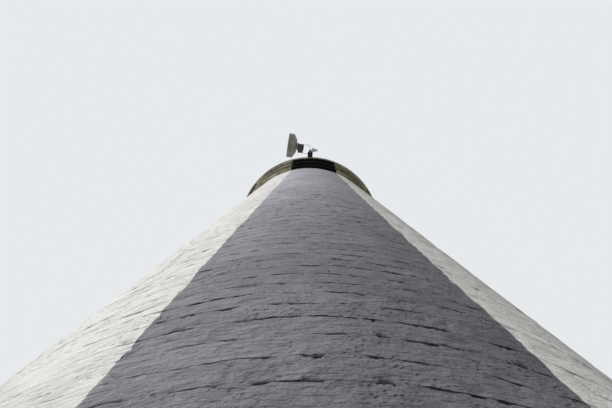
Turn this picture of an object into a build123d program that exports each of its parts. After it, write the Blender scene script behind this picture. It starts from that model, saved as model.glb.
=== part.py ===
from build123d import *
import os
from math import acos, cos, degrees, radians, sin

# Round masonry lighthouse with painted vertical stripes.
# Millimetres, +Z up, origin on the ground at the centre of the tower.
# The front is -Y, where the middle of a dark stripe faces. The doorway is at the back, on +Y.

os.makedirs("parts", exist_ok=True)

# Driving sizes of the tower shaft
stripe_count = 10
shaft_foot_radius = 2770
shaft_top_radius = 2394
shaft_top_height = 21675
well_radius = 1750
base_slab_height = 150
plinth_top_height = 450
plinth_projection = 170
plinth_weathering = 60

# Driving sizes of the doorway at the back
door_width = 880
door_height = 2100
lintel_height = 260
lintel_bearing = 75
lintel_projection = 40
door_frame_width = 70
door_frame_depth = 140
door_frame_setback = 260
door_leaf_thickness = 50
door_plank_count = 6
door_plank_gap = 6
door_plank_relief = 12
door_joint = 4

# Driving sizes of the cornice, from the shaft's top to the gallery deck
neck_height = 320
neck_roll_reach = 106
frieze_setout = 26
lower_frieze_height = 855
string_height = 300
string_roll_reach = 133
upper_frieze_height = 850
upper_frieze_setout = 30
corona_height = 400
corona_reach = 140
corona_fascia_height = 100
nose_splay = 34
nose_fascia_share = 0.45
deck_thickness = 146
deck_reach = 75
hatch_width = 700
hatch_offset = 800

# Driving sizes of the gallery railing
posts_per_stripe = 2
post_size = 40
post_foot_size = 120
post_foot_thickness = 14
post_edge_distance = 85
handrail_height = 1100
handrail_radius = 24
guard_rail_size = (40, 10)
guard_rail_heights = (360, 720)

# Driving sizes of the lantern
lantern_radius = 1400
lantern_wall_thickness = 90
lantern_wall_height = 850
lantern_base_height = 90
lantern_base_reach = 45
sill_height = 70
sill_reach = 40
glazing_height = 1400
mullion_width = 45
mullion_depth = 70
glass_thickness = 12
glass_rebate = 12
eaves_height = 120
eaves_reach = 150
eaves_gutter_depth = 60
eaves_gutter_width = 90
roof_height = 880
roof_shell = 30
roof_crown_radius = 150
vent_neck_radius = 120
vent_neck_height = 110
vent_drum_radius = 175
vent_drum_height = 130
vent_cap_height = 110
vent_cap_reach = 30
finial_radius = 14
finial_height = 420

# Driving sizes of the microwave dish set on its mast beside the gallery
mast_x = -85
mast_standoff = 195
mast_radius = 38
mast_foot_drop = 150
mast_head_rise = 800
dish_rise = 1054
dish_turn = 6
dish_offset = 110
dish_radius = 475
dish_bowl_depth = 170
dish_skin = 6
dish_shroud_length = 200
dish_setback = 535
dish_hub_radius = 145
dish_hub_length = 40
radome_thickness = 10
radio_offset = 50
radio_width = 210
radio_depth = 330
radio_height = 270
radio_fin_count = 12
radio_fin_depth = 24
radio_fin_thickness = 6
yoke_bar_thickness = 10
yoke_bar_height = 60
clamp_length = 110
clamp_wall = 16
bracket_plate_thickness = 12
bracket_width = 180
bracket_arm_height = 110
bracket_arm_wall = 10
side_antenna_drop = 250
side_antenna_offset = 45
side_antenna_length = 240
side_antenna_root = (190, 110)
side_antenna_tip = (60, 44)

fit = 0.3

# Sizes worked out from the driving ones
stripe_angle = 360 / stripe_count
plinth_radius = shaft_foot_radius + plinth_projection
door_head_height = base_slab_height + door_height
door_half_width = door_width / 2
lintel_half_length = door_half_width + lintel_bearing
neck_top_height = shaft_top_height + neck_height
lower_frieze_radius = shaft_top_radius + frieze_setout
lower_frieze_top = neck_top_height + lower_frieze_height
string_top_height = lower_frieze_top + string_height
upper_frieze_radius = lower_frieze_radius + upper_frieze_setout
upper_frieze_top = string_top_height + upper_frieze_height
corona_radius = upper_frieze_radius + corona_reach
deck_bottom_height = upper_frieze_top + corona_height
deck_top_height = deck_bottom_height + deck_thickness
deck_radius = corona_radius + deck_reach
rail_circle_radius = deck_radius - post_edge_distance
post_count = posts_per_stripe * stripe_count
lantern_inner_radius = lantern_radius - lantern_wall_thickness
lantern_wall_top = deck_top_height + lantern_wall_height
sill_top_height = lantern_wall_top + sill_height
glazing_top_height = sill_top_height + glazing_height
eaves_top_height = glazing_top_height + eaves_height
roof_top_height = eaves_top_height + roof_height
dish_height = deck_top_height + dish_rise
dish_back_x = mast_x - dish_setback
mast_y = -(deck_radius + mast_standoff)
dish_axis_y = mast_y - dish_offset
radio_y = mast_y - radio_offset
mast_bottom_height = deck_bottom_height - mast_foot_drop
mast_top_height = dish_height + mast_head_rise
side_antenna_height = dish_height - side_antenna_drop
shaft_taper = (shaft_foot_radius - shaft_top_radius) / (shaft_top_height - plinth_top_height)


def shaft_radius(height):
    """Outer radius of the tapering shaft at a height above the ground."""
    return shaft_foot_radius - shaft_taper * (height - plinth_top_height)


def radial_plane(azimuth):
    """Upright plane through the tower's axis: local x points outwards and local y upwards."""
    turn = radians(azimuth)
    return Plane(origin=(0, 0, 0), x_dir=(cos(turn), sin(turn), 0), z_dir=(sin(turn), -cos(turn), 0))


def write_piece(piece, name):
    """Label a finished piece and write it as one STEP file."""
    piece.label = name
    export_step(piece, f"parts/{name}.step")


def stripe_segment(index, bottom, top):
    """One stripe's share of the hollow shaft between two heights, counted from the front stripe."""
    start = -90 + (index - 0.5) * stripe_angle
    with BuildPart() as segment:
        with BuildSketch(radial_plane(start)):
            with BuildLine():
                Polyline(
                    (well_radius, bottom),
                    (shaft_radius(bottom), bottom),
                    (shaft_radius(top), top),
                    (well_radius, top),
                    close=True,
                )
            make_face()
        revolve(axis=Axis.Z, revolution_arc=stripe_angle)
    return segment.part


def moulded_ring(bottom, height, bed_radius, top_radius, reach, name):
    """Annular masonry course with a level soffit and a splayed nose that stands out past its bed."""
    nose_radius = bed_radius + reach
    nose_top = bottom + nose_splay + height * nose_fascia_share
    with BuildPart() as ring:
        with BuildSketch(Plane.XZ):
            with BuildLine():
                Polyline(
                    (well_radius, bottom),
                    (nose_radius - nose_splay, bottom),
                    (nose_radius, bottom + nose_splay),
                    (nose_radius, nose_top),
                    (nose_radius - nose_splay, nose_top + nose_splay),
                    (top_radius, bottom + height),
                    (well_radius, bottom + height),
                    close=True,
                )
            make_face()
        revolve(axis=Axis.Z)
    write_piece(ring.part, name)


def plain_ring(bottom, height, inner_radius, outer_radius, name):
    """Plain annular course, drum or slab."""
    with BuildPart() as ring:
        with BuildSketch(Plane.XY.offset(bottom)):
            Circle(outer_radius)
            Circle(inner_radius, mode=Mode.SUBTRACT)
        extrude(amount=height)
    write_piece(ring.part, name)


def round_rail(height, tube_radius):
    """Round bar in straight lengths that meet in mitres at the railing's posts."""
    route = post_route(height)
    with BuildPart() as bar:
        with BuildSketch(Plane(origin=route @ 0, x_dir=(0, 0, 1), z_dir=route % 0)):
            Circle(tube_radius)
        sweep(path=route, transition=Transition.RIGHT)
    return bar.part


def flat_rail(height, bar_size, clearance=0):
    """Flat bar on edge in straight lengths that meet in mitres at the railing's posts."""
    route = post_route(height)
    upright, across = bar_size
    with BuildPart() as bar:
        with BuildSketch(Plane(origin=route @ 0, x_dir=(0, 0, 1), z_dir=route % 0)):
            Rectangle(upright + 2 * clearance, across + 2 * clearance)
        sweep(path=route, transition=Transition.RIGHT)
    return bar.part


def post_route(height):
    """Closed line through the centres of all the posts at a height."""
    with BuildLine(Plane.XY.offset(height)) as route:
        Polyline(*(post_place(index) for index in range(post_count)), close=True)
    return route.line


def post_place(index):
    """Centre of one railing post, counted from the right."""
    turn = radians(index * 360 / post_count)
    return rail_circle_radius * cos(turn), rail_circle_radius * sin(turn)


# Base slab, which is also the ground floor and the threshold
with BuildPart() as base_slab:
    with BuildSketch(Plane.XY):
        Circle(plinth_radius)
    extrude(amount=base_slab_height)
write_piece(base_slab.part, "base_slab")

# Plinth course with a sloped top, open at the doorway
with BuildPart() as plinth_course:
    with BuildSketch(Plane.XZ):
        with BuildLine():
            Polyline(
                (well_radius, base_slab_height),
                (plinth_radius, base_slab_height),
                (plinth_radius, plinth_top_height - plinth_weathering),
                (shaft_foot_radius, plinth_top_height),
                (well_radius, plinth_top_height),
                close=True,
            )
        make_face()
    revolve(axis=Axis.Z)
    with BuildSketch(Plane.XY.offset(base_slab_height)):
        with Locations((0, plinth_radius / 2)):
            Rectangle(door_width, plinth_radius)
    extrude(amount=plinth_top_height, mode=Mode.SUBTRACT)
write_piece(plinth_course.part, "plinth_course")

# Shaft, one piece for each painted stripe. The stripe with the doorway is split beside and over it.
door_stripe = stripe_count // 2
for stripe in range(stripe_count):
    colour = "dark" if stripe % 2 == 0 else "white"
    stripe_name = f"wall_{colour}_{stripe // 2 + 1}"
    if stripe != door_stripe:
        write_piece(stripe_segment(stripe, plinth_top_height, shaft_top_height), stripe_name)
        continue

    with BuildPart() as lower_wall:
        add(stripe_segment(stripe, plinth_top_height, door_head_height))
        with BuildSketch(Plane.XY.offset(plinth_top_height)):
            with Locations((0, plinth_radius / 2)):
                Rectangle(door_width, plinth_radius)
        extrude(amount=door_height, mode=Mode.SUBTRACT)
    for side, jamb in zip(("left", "right"), lower_wall.part.solids().sort_by(Axis.X)):
        write_piece(Part(jamb.wrapped), f"{stripe_name}_{side}_of_door")

    with BuildPart() as upper_wall:
        add(stripe_segment(stripe, door_head_height, shaft_top_height))
        with BuildSketch(Plane.XY.offset(door_head_height)):
            with Locations((0, plinth_radius / 2)):
                Rectangle(2 * lintel_half_length, plinth_radius)
        extrude(amount=lintel_height, mode=Mode.SUBTRACT)
    write_piece(upper_wall.part, f"{stripe_name}_over_door")

# Stone lintel over the doorway, standing a little proud of the wall
with BuildPart() as door_lintel:
    with BuildSketch(Plane.XY.offset(door_head_height)):
        with Locations((0, plinth_radius / 2)):
            Rectangle(2 * lintel_half_length, plinth_radius)
        Circle(well_radius, mode=Mode.SUBTRACT)
        Circle(shaft_radius(door_head_height) + lintel_projection, mode=Mode.INTERSECT)
    extrude(amount=lintel_height)
write_piece(door_lintel.part, "door_lintel")

# Timber door frame in the doorway
frame_front = shaft_radius(door_head_height) - door_frame_setback
frame_middle = frame_front - door_frame_depth / 2
with BuildPart() as door_frame:
    with BuildSketch(Plane.XY.offset(base_slab_height)):
        with Locations((0, frame_middle)):
            Rectangle(door_width, door_frame_depth)
    extrude(amount=door_height)
    with BuildSketch(Plane.XY.offset(base_slab_height)):
        with Locations((0, frame_middle)):
            Rectangle(door_width - 2 * door_frame_width, door_frame_depth)
    extrude(amount=door_height - door_frame_width, mode=Mode.SUBTRACT)
write_piece(door_frame.part, "door_frame")

# Door leaf with raised planks, closed in its frame
leaf_width = door_width - 2 * door_frame_width - 2 * door_joint
leaf_height = door_height - door_frame_width - 2 * door_joint
plank_pitch = leaf_width / door_plank_count
with BuildPart() as door_leaf:
    with BuildSketch(Plane.XY.offset(base_slab_height + fit)):
        with Locations((0, frame_middle)):
            Rectangle(leaf_width, door_leaf_thickness)
        with Locations((0, frame_middle + door_leaf_thickness / 2)):
            with GridLocations(plank_pitch, 0, door_plank_count - 1, 1):
                Rectangle(door_plank_gap, 2 * door_plank_relief, mode=Mode.SUBTRACT)
    extrude(amount=leaf_height)
write_piece(door_leaf.part, "door_leaf")

# Cornice courses under the gallery
moulded_ring(
    shaft_top_height, neck_height, shaft_top_radius, lower_frieze_radius, neck_roll_reach, "neck_course"
)
plain_ring(neck_top_height, lower_frieze_height, well_radius, lower_frieze_radius, "lower_frieze")
moulded_ring(
    lower_frieze_top, string_height, lower_frieze_radius, upper_frieze_radius, string_roll_reach, "string_course"
)
plain_ring(string_top_height, upper_frieze_height, well_radius, upper_frieze_radius, "upper_frieze")

# Corona: a hollow cove that spreads out to an upright fascia under the deck
cove_top = deck_bottom_height - corona_fascia_height
with BuildPart() as corona:
    with BuildSketch(Plane.XZ):
        with BuildLine():
            RadiusArc(
                (upper_frieze_radius, upper_frieze_top),
                (corona_radius, cove_top),
                corona_height,
            )
            Polyline(
                (corona_radius, cove_top),
                (corona_radius, deck_bottom_height),
                (well_radius, deck_bottom_height),
                (well_radius, upper_frieze_top),
                (upper_frieze_radius, upper_frieze_top),
            )
        make_face()
    revolve(axis=Axis.Z)
write_piece(corona.part, "corona")

# Gallery deck, which is also the lantern's floor, with a hatch from the tower below
with BuildPart() as gallery_deck:
    with BuildSketch(Plane.XY.offset(deck_bottom_height)):
        Circle(deck_radius)
        with Locations((0, hatch_offset)):
            Rectangle(hatch_width, hatch_width, mode=Mode.SUBTRACT)
    extrude(amount=deck_thickness)
write_piece(gallery_deck.part, "gallery_deck")

# Railing: square posts on foot plates that carry a round handrail and are threaded by two flat bars
post_top_height = deck_top_height + handrail_height
with BuildPart() as railing_posts:
    with Locations((0, 0, deck_top_height)):
        with PolarLocations(rail_circle_radius, post_count):
            Box(
                post_foot_size,
                post_foot_size,
                post_foot_thickness,
                align=(Align.CENTER, Align.CENTER, Align.MIN),
            )
            Box(post_size, post_size, handrail_height, align=(Align.CENTER, Align.CENTER, Align.MIN))
    add(round_rail(post_top_height, handrail_radius + fit), mode=Mode.SUBTRACT)
    for rail_height in guard_rail_heights:
        add(flat_rail(deck_top_height + rail_height, guard_rail_size, clearance=fit), mode=Mode.SUBTRACT)
write_piece(railing_posts.part, "railing_posts")

write_piece(round_rail(post_top_height, handrail_radius), "handrail")
for rail_name, rail_height in zip(("lower_guard_rail", "upper_guard_rail"), guard_rail_heights):
    write_piece(flat_rail(deck_top_height + rail_height, guard_rail_size), rail_name)

# Lantern base wall with a moulded foot
with BuildPart() as lantern_wall:
    with BuildSketch(Plane.XZ):
        with BuildLine():
            Polyline(
                (lantern_inner_radius, deck_top_height),
                (lantern_radius + lantern_base_reach, deck_top_height),
                (lantern_radius + lantern_base_reach, deck_top_height + lantern_base_height),
                (lantern_radius, deck_top_height + lantern_base_height + lantern_base_reach),
                (lantern_radius, lantern_wall_top),
                (lantern_inner_radius, lantern_wall_top),
                close=True,
            )
        make_face()
    revolve(axis=Axis.Z)
write_piece(lantern_wall.part, "lantern_wall")

plain_ring(
    lantern_wall_top, sill_height, lantern_inner_radius - sill_reach, lantern_radius + sill_reach, "lantern_sill"
)

# Upright glazing bars at the lantern's corners, one at each edge between two stripes
corner_turn = stripe_angle / 2
mullion_circle = (lantern_radius + lantern_inner_radius) / 2
with BuildPart() as glazing_bars:
    with BuildSketch(Plane.XY.offset(sill_top_height)):
        with PolarLocations(mullion_circle, stripe_count, start_angle=90 + corner_turn):
            Rectangle(mullion_depth, mullion_width)
    extrude(amount=glazing_height)
write_piece(glazing_bars.part, "glazing_bars")

# Flat panes between the bars
pane_circle = mullion_circle * cos(radians(corner_turn))
pane_width = 2 * mullion_circle * sin(radians(corner_turn)) - mullion_width - 2 * glass_rebate
with BuildPart() as lantern_glass:
    with BuildSketch(Plane.XY.offset(sill_top_height)):
        with PolarLocations(pane_circle, stripe_count, start_angle=90):
            Rectangle(glass_thickness, pane_width)
    extrude(amount=glazing_height)
write_piece(lantern_glass.part, "lantern_glass")

# Eaves ring with a gutter sunk in its top
eaves_radius = lantern_radius + eaves_reach
gutter_outer = eaves_radius - eaves_gutter_width / 3
with BuildPart() as lantern_eaves:
    with BuildSketch(Plane.XY.offset(glazing_top_height)):
        Circle(eaves_radius)
        Circle(lantern_inner_radius - sill_reach, mode=Mode.SUBTRACT)
    extrude(amount=eaves_height)
    with BuildSketch(Plane.XY.offset(eaves_top_height - eaves_gutter_depth)):
        Circle(gutter_outer)
        Circle(gutter_outer - eaves_gutter_width, mode=Mode.SUBTRACT)
    extrude(amount=eaves_gutter_depth, mode=Mode.SUBTRACT)
write_piece(lantern_eaves.part, "lantern_eaves")

# Roof shell of curved gores, one over each pane, that springs inside the gutter
roof_radius = (gutter_outer - eaves_gutter_width) * cos(radians(corner_turn))
roof_bulge = roof_radius * 1.1


def gored_dome(springing_radius, crown_radius, top, bulge):
    """Solid dome with one curved gore for each stripe, cut by crossed barrel vaults."""
    with BuildPart() as dome:
        for vault in range(stripe_count // 2):
            with BuildSketch(radial_plane(90 + vault * stripe_angle)):
                with BuildLine():
                    RadiusArc((-springing_radius, eaves_top_height), (-crown_radius, top), bulge)
                    Line((-crown_radius, top), (crown_radius, top))
                    RadiusArc((crown_radius, top), (springing_radius, eaves_top_height), bulge)
                    Line((springing_radius, eaves_top_height), (-springing_radius, eaves_top_height))
                make_face()
            extrude(amount=2 * springing_radius, both=True, mode=Mode.INTERSECT if vault else Mode.ADD)
    return dome.part


with BuildPart() as lantern_roof:
    add(gored_dome(roof_radius, roof_crown_radius, roof_top_height, roof_bulge))
    add(
        gored_dome(
            roof_radius - roof_shell,
            roof_crown_radius - roof_shell,
            roof_top_height - roof_shell,
            roof_bulge - roof_shell,
        ),
        mode=Mode.SUBTRACT,
    )
write_piece(lantern_roof.part, "lantern_roof")

# Ventilator drum on its neck under a conical cap, and the lightning rod above it
vent_drum_bottom = roof_top_height + vent_neck_height
vent_cap_bottom = vent_drum_bottom + vent_drum_height
rod_foot = vent_cap_bottom + vent_cap_height
with BuildPart() as ventilator:
    with BuildSketch(Plane.XZ):
        with BuildLine():
            Polyline(
                (0, roof_top_height),
                (vent_neck_radius, roof_top_height),
                (vent_neck_radius, vent_drum_bottom),
                (vent_drum_radius, vent_drum_bottom),
                (vent_drum_radius, vent_cap_bottom),
                (vent_drum_radius + vent_cap_reach, vent_cap_bottom),
                (2 * finial_radius, rod_foot),
                (0, rod_foot),
                close=True,
            )
        make_face()
    revolve(axis=Axis.Z)
write_piece(ventilator.part, "ventilator")

with BuildPart() as lightning_rod:
    with BuildSketch(Plane.XZ):
        with BuildLine():
            Polyline(
                (0, rod_foot),
                (2 * finial_radius, rod_foot),
                (finial_radius, rod_foot + 3 * finial_radius),
                (finial_radius, rod_foot + finial_height - 6 * finial_radius),
                (0, rod_foot + finial_height),
                close=True,
            )
        make_face()
    revolve(axis=Axis.Z)
write_piece(lightning_rod.part, "lightning_rod")

# Mast of the dish set
with BuildPart() as antenna_mast:
    with Locations((mast_x, mast_y, mast_bottom_height)):
        Cylinder(
            mast_radius, mast_top_height - mast_bottom_height, align=(Align.CENTER, Align.CENTER, Align.MIN)
        )
write_piece(antenna_mast.part, "antenna_mast")

# Stand-off bracket from the deck's edge to the foot of the mast: a curved plate, a channel open
# below and a clamp round the mast
bracket_middle = (deck_bottom_height + deck_top_height) / 2
plate_inner = deck_radius + fit
clamp_radius = mast_radius + clamp_wall
with BuildPart() as mast_bracket:
    with BuildSketch(Plane.XY.offset(bracket_middle)):
        with Locations((mast_x, -deck_radius)):
            Rectangle(bracket_width, deck_radius)
        Circle(plate_inner + bracket_plate_thickness, mode=Mode.INTERSECT)
        Circle(plate_inner, mode=Mode.SUBTRACT)
    extrude(amount=deck_thickness / 2, both=True)
    with BuildSketch(Plane.XY.offset(bracket_middle)):
        with Locations((mast_x, mast_y)):
            Rectangle(bracket_width, 2 * mast_standoff, align=(Align.CENTER, Align.MIN))
            Circle(clamp_radius)
        Circle(plate_inner + bracket_plate_thickness / 2, mode=Mode.SUBTRACT)
    extrude(amount=bracket_arm_height / 2, both=True)
    with BuildSketch(Plane.XY.offset(bracket_middle - bracket_arm_height / 2)):
        with Locations((mast_x, mast_y)):
            Rectangle(
                bracket_width - 2 * bracket_arm_wall, 2 * mast_standoff, align=(Align.CENTER, Align.MIN)
            )
            Circle(clamp_radius, mode=Mode.SUBTRACT)
        Circle(plate_inner + bracket_plate_thickness / 2, mode=Mode.SUBTRACT)
    extrude(amount=bracket_arm_height - bracket_arm_wall, mode=Mode.SUBTRACT)
    with BuildSketch(Plane.XY.offset(bracket_middle)):
        with Locations((mast_x, mast_y)):
            Circle(mast_radius + fit)
    extrude(amount=bracket_arm_height / 2, both=True, mode=Mode.SUBTRACT)
write_piece(mast_bracket.part, "mast_bracket")

# Shrouded dish with its hub behind it, drawn facing -X and then turned about the mast
mast_axis = Axis((mast_x, mast_y, 0), (0, 0, 1))
dish_axis = Axis((0, dish_axis_y, dish_height), (1, 0, 0))
bowl_mouth_x = dish_back_x - dish_bowl_depth
bowl_bend = (dish_radius**2 + dish_bowl_depth**2) / (2 * dish_bowl_depth)
bowl_centre = (dish_back_x - bowl_bend, dish_axis_y)
outer_sweep = degrees(acos((bowl_bend - dish_bowl_depth) / bowl_bend))
inner_sweep = degrees(acos((bowl_bend - dish_bowl_depth) / (bowl_bend - dish_skin)))
with BuildPart() as dish_reflector:
    with BuildSketch(Plane.XY.offset(dish_height)):
        with BuildLine():
            outer_face = CenterArc(bowl_centre, bowl_bend, 0, -outer_sweep)
            inner_face = CenterArc(bowl_centre, bowl_bend - dish_skin, 0, -inner_sweep)
            Line(outer_face @ 1, inner_face @ 1)
            Line(inner_face @ 0, outer_face @ 0)
        make_face()
    revolve(axis=dish_axis)
write_piece(dish_reflector.part.rotate(mast_axis, dish_turn), "dish_reflector")

with BuildPart() as dish_shroud:
    with BuildSketch(Plane.YZ.offset(bowl_mouth_x)):
        with Locations((dish_axis_y, dish_height)):
            Circle(dish_radius)
            Circle(dish_radius - dish_skin, mode=Mode.SUBTRACT)
    extrude(amount=-dish_shroud_length)
write_piece(dish_shroud.part.rotate(mast_axis, dish_turn), "dish_shroud")

radome_x = bowl_mouth_x - dish_shroud_length
with BuildPart() as dish_radome:
    with BuildSketch(Plane.YZ.offset(radome_x)):
        with Locations((dish_axis_y, dish_height)):
            Circle(dish_radius)
    extrude(amount=-radome_thickness)
    chamfer(dish_radome.edges().group_by(Axis.X)[0], radome_thickness / 2)
write_piece(dish_radome.part.rotate(mast_axis, dish_turn), "dish_radome")

with BuildPart() as dish_hub:
    with BuildSketch(Plane.YZ.offset(dish_back_x)):
        with Locations((dish_axis_y, dish_height)):
            Circle(dish_hub_radius)
    extrude(amount=dish_hub_length)
write_piece(dish_hub.part.rotate(mast_axis, dish_turn), "dish_hub")

# Radio box behind the hub and the yoke's front plate, with upright cooling fins on its back
yoke_front = dish_back_x + dish_hub_length
radio_front = yoke_front + yoke_bar_thickness
radio_body_width = radio_width - radio_fin_depth
fin_pitch = (radio_depth - radio_fin_thickness) / (radio_fin_count - 1)
with BuildPart() as radio_unit:
    with BuildSketch(Plane.XY.offset(dish_height)):
        with Locations((radio_front, radio_y)):
            Rectangle(radio_body_width, radio_depth, align=(Align.MIN, Align.CENTER))
        with Locations((radio_front + radio_body_width, radio_y)):
            with GridLocations(0, fin_pitch, 1, radio_fin_count):
                Rectangle(radio_fin_depth, radio_fin_thickness, align=(Align.MIN, Align.CENTER))
    extrude(amount=radio_height / 2, both=True)
write_piece(radio_unit.part.rotate(mast_axis, dish_turn), "radio_unit")

# Yoke: a clamp round the mast and a flat frame round the radio to the back of the hub
yoke_back = mast_x - mast_radius
yoke_inner_depth = radio_depth + 2 * fit
with BuildPart() as dish_yoke:
    with BuildSketch(Plane.XY.offset(dish_height)):
        with Locations((yoke_front, radio_y)):
            Rectangle(
                yoke_back - yoke_front,
                yoke_inner_depth + 2 * yoke_bar_thickness,
                align=(Align.MIN, Align.CENTER),
            )
        with Locations((radio_front, radio_y)):
            Rectangle(
                yoke_back - yoke_bar_thickness - radio_front,
                yoke_inner_depth,
                align=(Align.MIN, Align.CENTER),
                mode=Mode.SUBTRACT,
            )
        with Locations((mast_x, mast_y)):
            Circle(clamp_radius)
            Circle(mast_radius + fit, mode=Mode.SUBTRACT)
    extrude(amount=yoke_bar_height / 2, both=True)
write_piece(dish_yoke.part.rotate(mast_axis, dish_turn), "dish_yoke")

# Small tapered antenna on the other side of the mast
side_root_x = mast_x + clamp_radius
side_antenna_y = mast_y - side_antenna_offset
with BuildPart() as side_antenna:
    with BuildSketch(Plane.YZ.offset(side_root_x)):
        with Locations((side_antenna_y, side_antenna_height)):
            Rectangle(*side_antenna_root)
    with BuildSketch(Plane.YZ.offset(side_root_x + side_antenna_length)):
        with Locations((side_antenna_y, side_antenna_height)):
            Rectangle(*side_antenna_tip)
    loft()
write_piece(side_antenna.part, "side_antenna")

with BuildPart() as side_clamp:
    with BuildSketch(Plane.XY.offset(side_antenna_height)):
        with Locations((mast_x, mast_y)):
            Circle(clamp_radius)
            Circle(mast_radius + fit, mode=Mode.SUBTRACT)
    extrude(amount=clamp_length / 2, both=True)
write_piece(side_clamp.part, "side_clamp")
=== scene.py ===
"""Looks of a round masonry lighthouse with painted vertical stripes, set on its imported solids."""

from __future__ import annotations

import logging
import math
from dataclasses import dataclass, field
from enum import Enum, StrEnum, auto
from functools import cache
from itertools import product
from typing import Callable, Iterable, Sequence

import bmesh
import bpy
import numpy as np
from mathutils import Matrix, Vector


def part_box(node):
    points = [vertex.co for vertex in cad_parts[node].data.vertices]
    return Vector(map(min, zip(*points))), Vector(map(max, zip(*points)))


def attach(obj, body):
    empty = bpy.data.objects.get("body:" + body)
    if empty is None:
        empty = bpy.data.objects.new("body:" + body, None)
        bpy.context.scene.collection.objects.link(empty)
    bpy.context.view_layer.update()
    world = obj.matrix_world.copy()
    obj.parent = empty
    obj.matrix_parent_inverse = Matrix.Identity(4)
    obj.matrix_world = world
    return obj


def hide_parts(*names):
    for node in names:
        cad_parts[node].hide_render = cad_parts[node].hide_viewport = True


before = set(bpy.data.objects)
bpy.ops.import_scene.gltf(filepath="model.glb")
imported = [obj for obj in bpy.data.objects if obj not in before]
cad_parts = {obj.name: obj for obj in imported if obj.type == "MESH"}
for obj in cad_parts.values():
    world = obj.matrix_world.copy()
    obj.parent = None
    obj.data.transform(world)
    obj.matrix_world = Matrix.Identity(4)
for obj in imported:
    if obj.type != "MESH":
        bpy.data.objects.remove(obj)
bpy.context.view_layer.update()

LOG = logging.getLogger("lighthouse")
BODY = "root"
STRIPE_COUNT = 10
STRIPE_TURN = 2 * math.pi / STRIPE_COUNT
STRIPE_LEAN = 0.021
LEAN_HEIGHTS = (7.0, 22.0)
HASH_WEIGHTS = (12.9898, 78.233, 37.719, 4.581)

Array = np.ndarray
Colour = tuple[float, float, float]
Piece = bpy.types.Object
Place = Sequence[float]
Profile = list[tuple[float, float]]
Sides = tuple["WallSide", "WallSide"]
Socket = bpy.types.NodeSocket
Test = Callable[..., bool]
Value = object


class Slot(StrEnum):
    """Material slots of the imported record."""

    DARK_PAINT = auto()
    WHITE_PAINT = auto()
    BASE_STONE = auto()
    CORNICE_STONE = auto()
    TIMBER = auto()
    RAILING_IRON = auto()
    LANTERN_IRON = auto()
    ROOF_METAL = auto()
    GLASS = auto()
    ROD_METAL = auto()
    DISH_WHITE = auto()
    RADOME = auto()
    RADIO_GREY = auto()
    ANTENNA_PLASTIC = auto()
    GALVANISED_STEEL = auto()


class Along(Enum):
    """Axis that a round piece runs along, as the turn that lays it there."""

    X = (0, math.pi / 2, 0)
    Y = (math.pi / 2, 0, 0)
    Z = (0, 0, 0)


# Modelling by operators


def activate(piece: Piece) -> Piece:
    """Make a piece the only selected and the active object.

    Args:
        piece: Piece to work on.

    Returns:
        The same piece.
    """
    bpy.ops.object.select_all(action="DESELECT")
    piece.select_set(True)
    bpy.context.view_layer.objects.active = piece
    return piece


def add_mesh(name: str, mesh: bpy.types.Mesh) -> Piece:
    """Put a mesh into the scene.

    Args:
        name: Name of the piece.
        mesh: Its mesh.

    Returns:
        The new piece.
    """
    piece = bpy.data.objects.new(name, mesh)
    bpy.context.scene.collection.objects.link(piece)
    return piece


def add_primitive(add: Callable[..., set[str]], name: str, edge: float = 0.0, **settings: object) -> Piece:
    """Add a primitive at its size and place, with its object left at the origin.

    Args:
        add: Operator that adds the primitive.
        name: Name of the piece.
        edge: Width of its rounded edges, or 0 for sharp ones.
        settings: The operator's own settings.

    Returns:
        The new object.
    """
    bpy.ops.object.select_all(action="DESELECT")
    add(**settings)
    piece = bpy.context.object
    piece.name = piece.data.name = name
    bpy.ops.object.transform_apply(location=True, rotation=True, scale=True)
    return bevel(piece, edge) if edge else piece


def add_block(name: str, size: Place, centre: Place = (0, 0, 0), edge: float = 0.0) -> Piece:
    """Add a box by its lengths along x, y and z, with edges of a width rounded off."""
    return add_primitive(bpy.ops.mesh.primitive_cube_add, name, edge, size=1, location=centre, scale=size)


def add_round(
    name: str, radius: float, length: float, centre: Place, edge: float = 0.0, along: Along = Along.Z,
    sides: int = 24
) -> Piece:
    """Add a cylinder about its middle along an axis, with edges of a width rounded off."""
    return add_primitive(
        bpy.ops.mesh.primitive_cylinder_add, name, edge, vertices=sides, radius=radius, depth=length,
        location=centre, rotation=along.value
    )


@dataclass
class Editing:
    """Edit mode on one piece, with its faces or edges picked in code."""

    piece: Piece

    def __enter__(self) -> Editing:
        """Open edit mode with the whole piece selected.

        Returns:
            The editing itself.
        """
        activate(self.piece)
        bpy.ops.object.mode_set(mode="EDIT")
        self.everything()
        return self

    def __exit__(self, *details: object) -> None:
        """Go back to object mode."""
        bpy.ops.object.mode_set(mode="OBJECT")

    def everything(self) -> None:
        """Select the whole piece."""
        bpy.ops.mesh.select_all(action="SELECT")

    def pick(self, kind: str, wanted: Test) -> None:
        """Select only some faces or edges.

        Args:
            kind: Which of the mesh's parts are picked, "faces" or "edges".
            wanted: Test that picks them.
        """
        bpy.context.tool_settings.mesh_select_mode = (False, kind == "edges", kind == "faces")
        bpy.ops.mesh.select_all(action="DESELECT")
        for part in getattr(bmesh.from_edit_mesh(self.piece.data), kind):
            part.select_set(wanted(part))
        bmesh.update_edit_mesh(self.piece.data)


def bevel(piece: Piece, width: float, segments: int = 2) -> Piece:
    """Round off a piece's sharp edges and shade it smooth between the ones that stay.

    Args:
        piece: Piece to finish.
        width: Width of the bevel in metres.
        segments: Faces across each bevel.

    Returns:
        The same object.
    """
    activate(piece)
    modifier = piece.modifiers.new("edges", "BEVEL")
    modifier.width, modifier.segments = width, segments
    modifier.limit_method, modifier.angle_limit = "ANGLE", math.radians(30)
    bpy.ops.object.modifier_apply(modifier=modifier.name)
    return smooth(piece)


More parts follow.
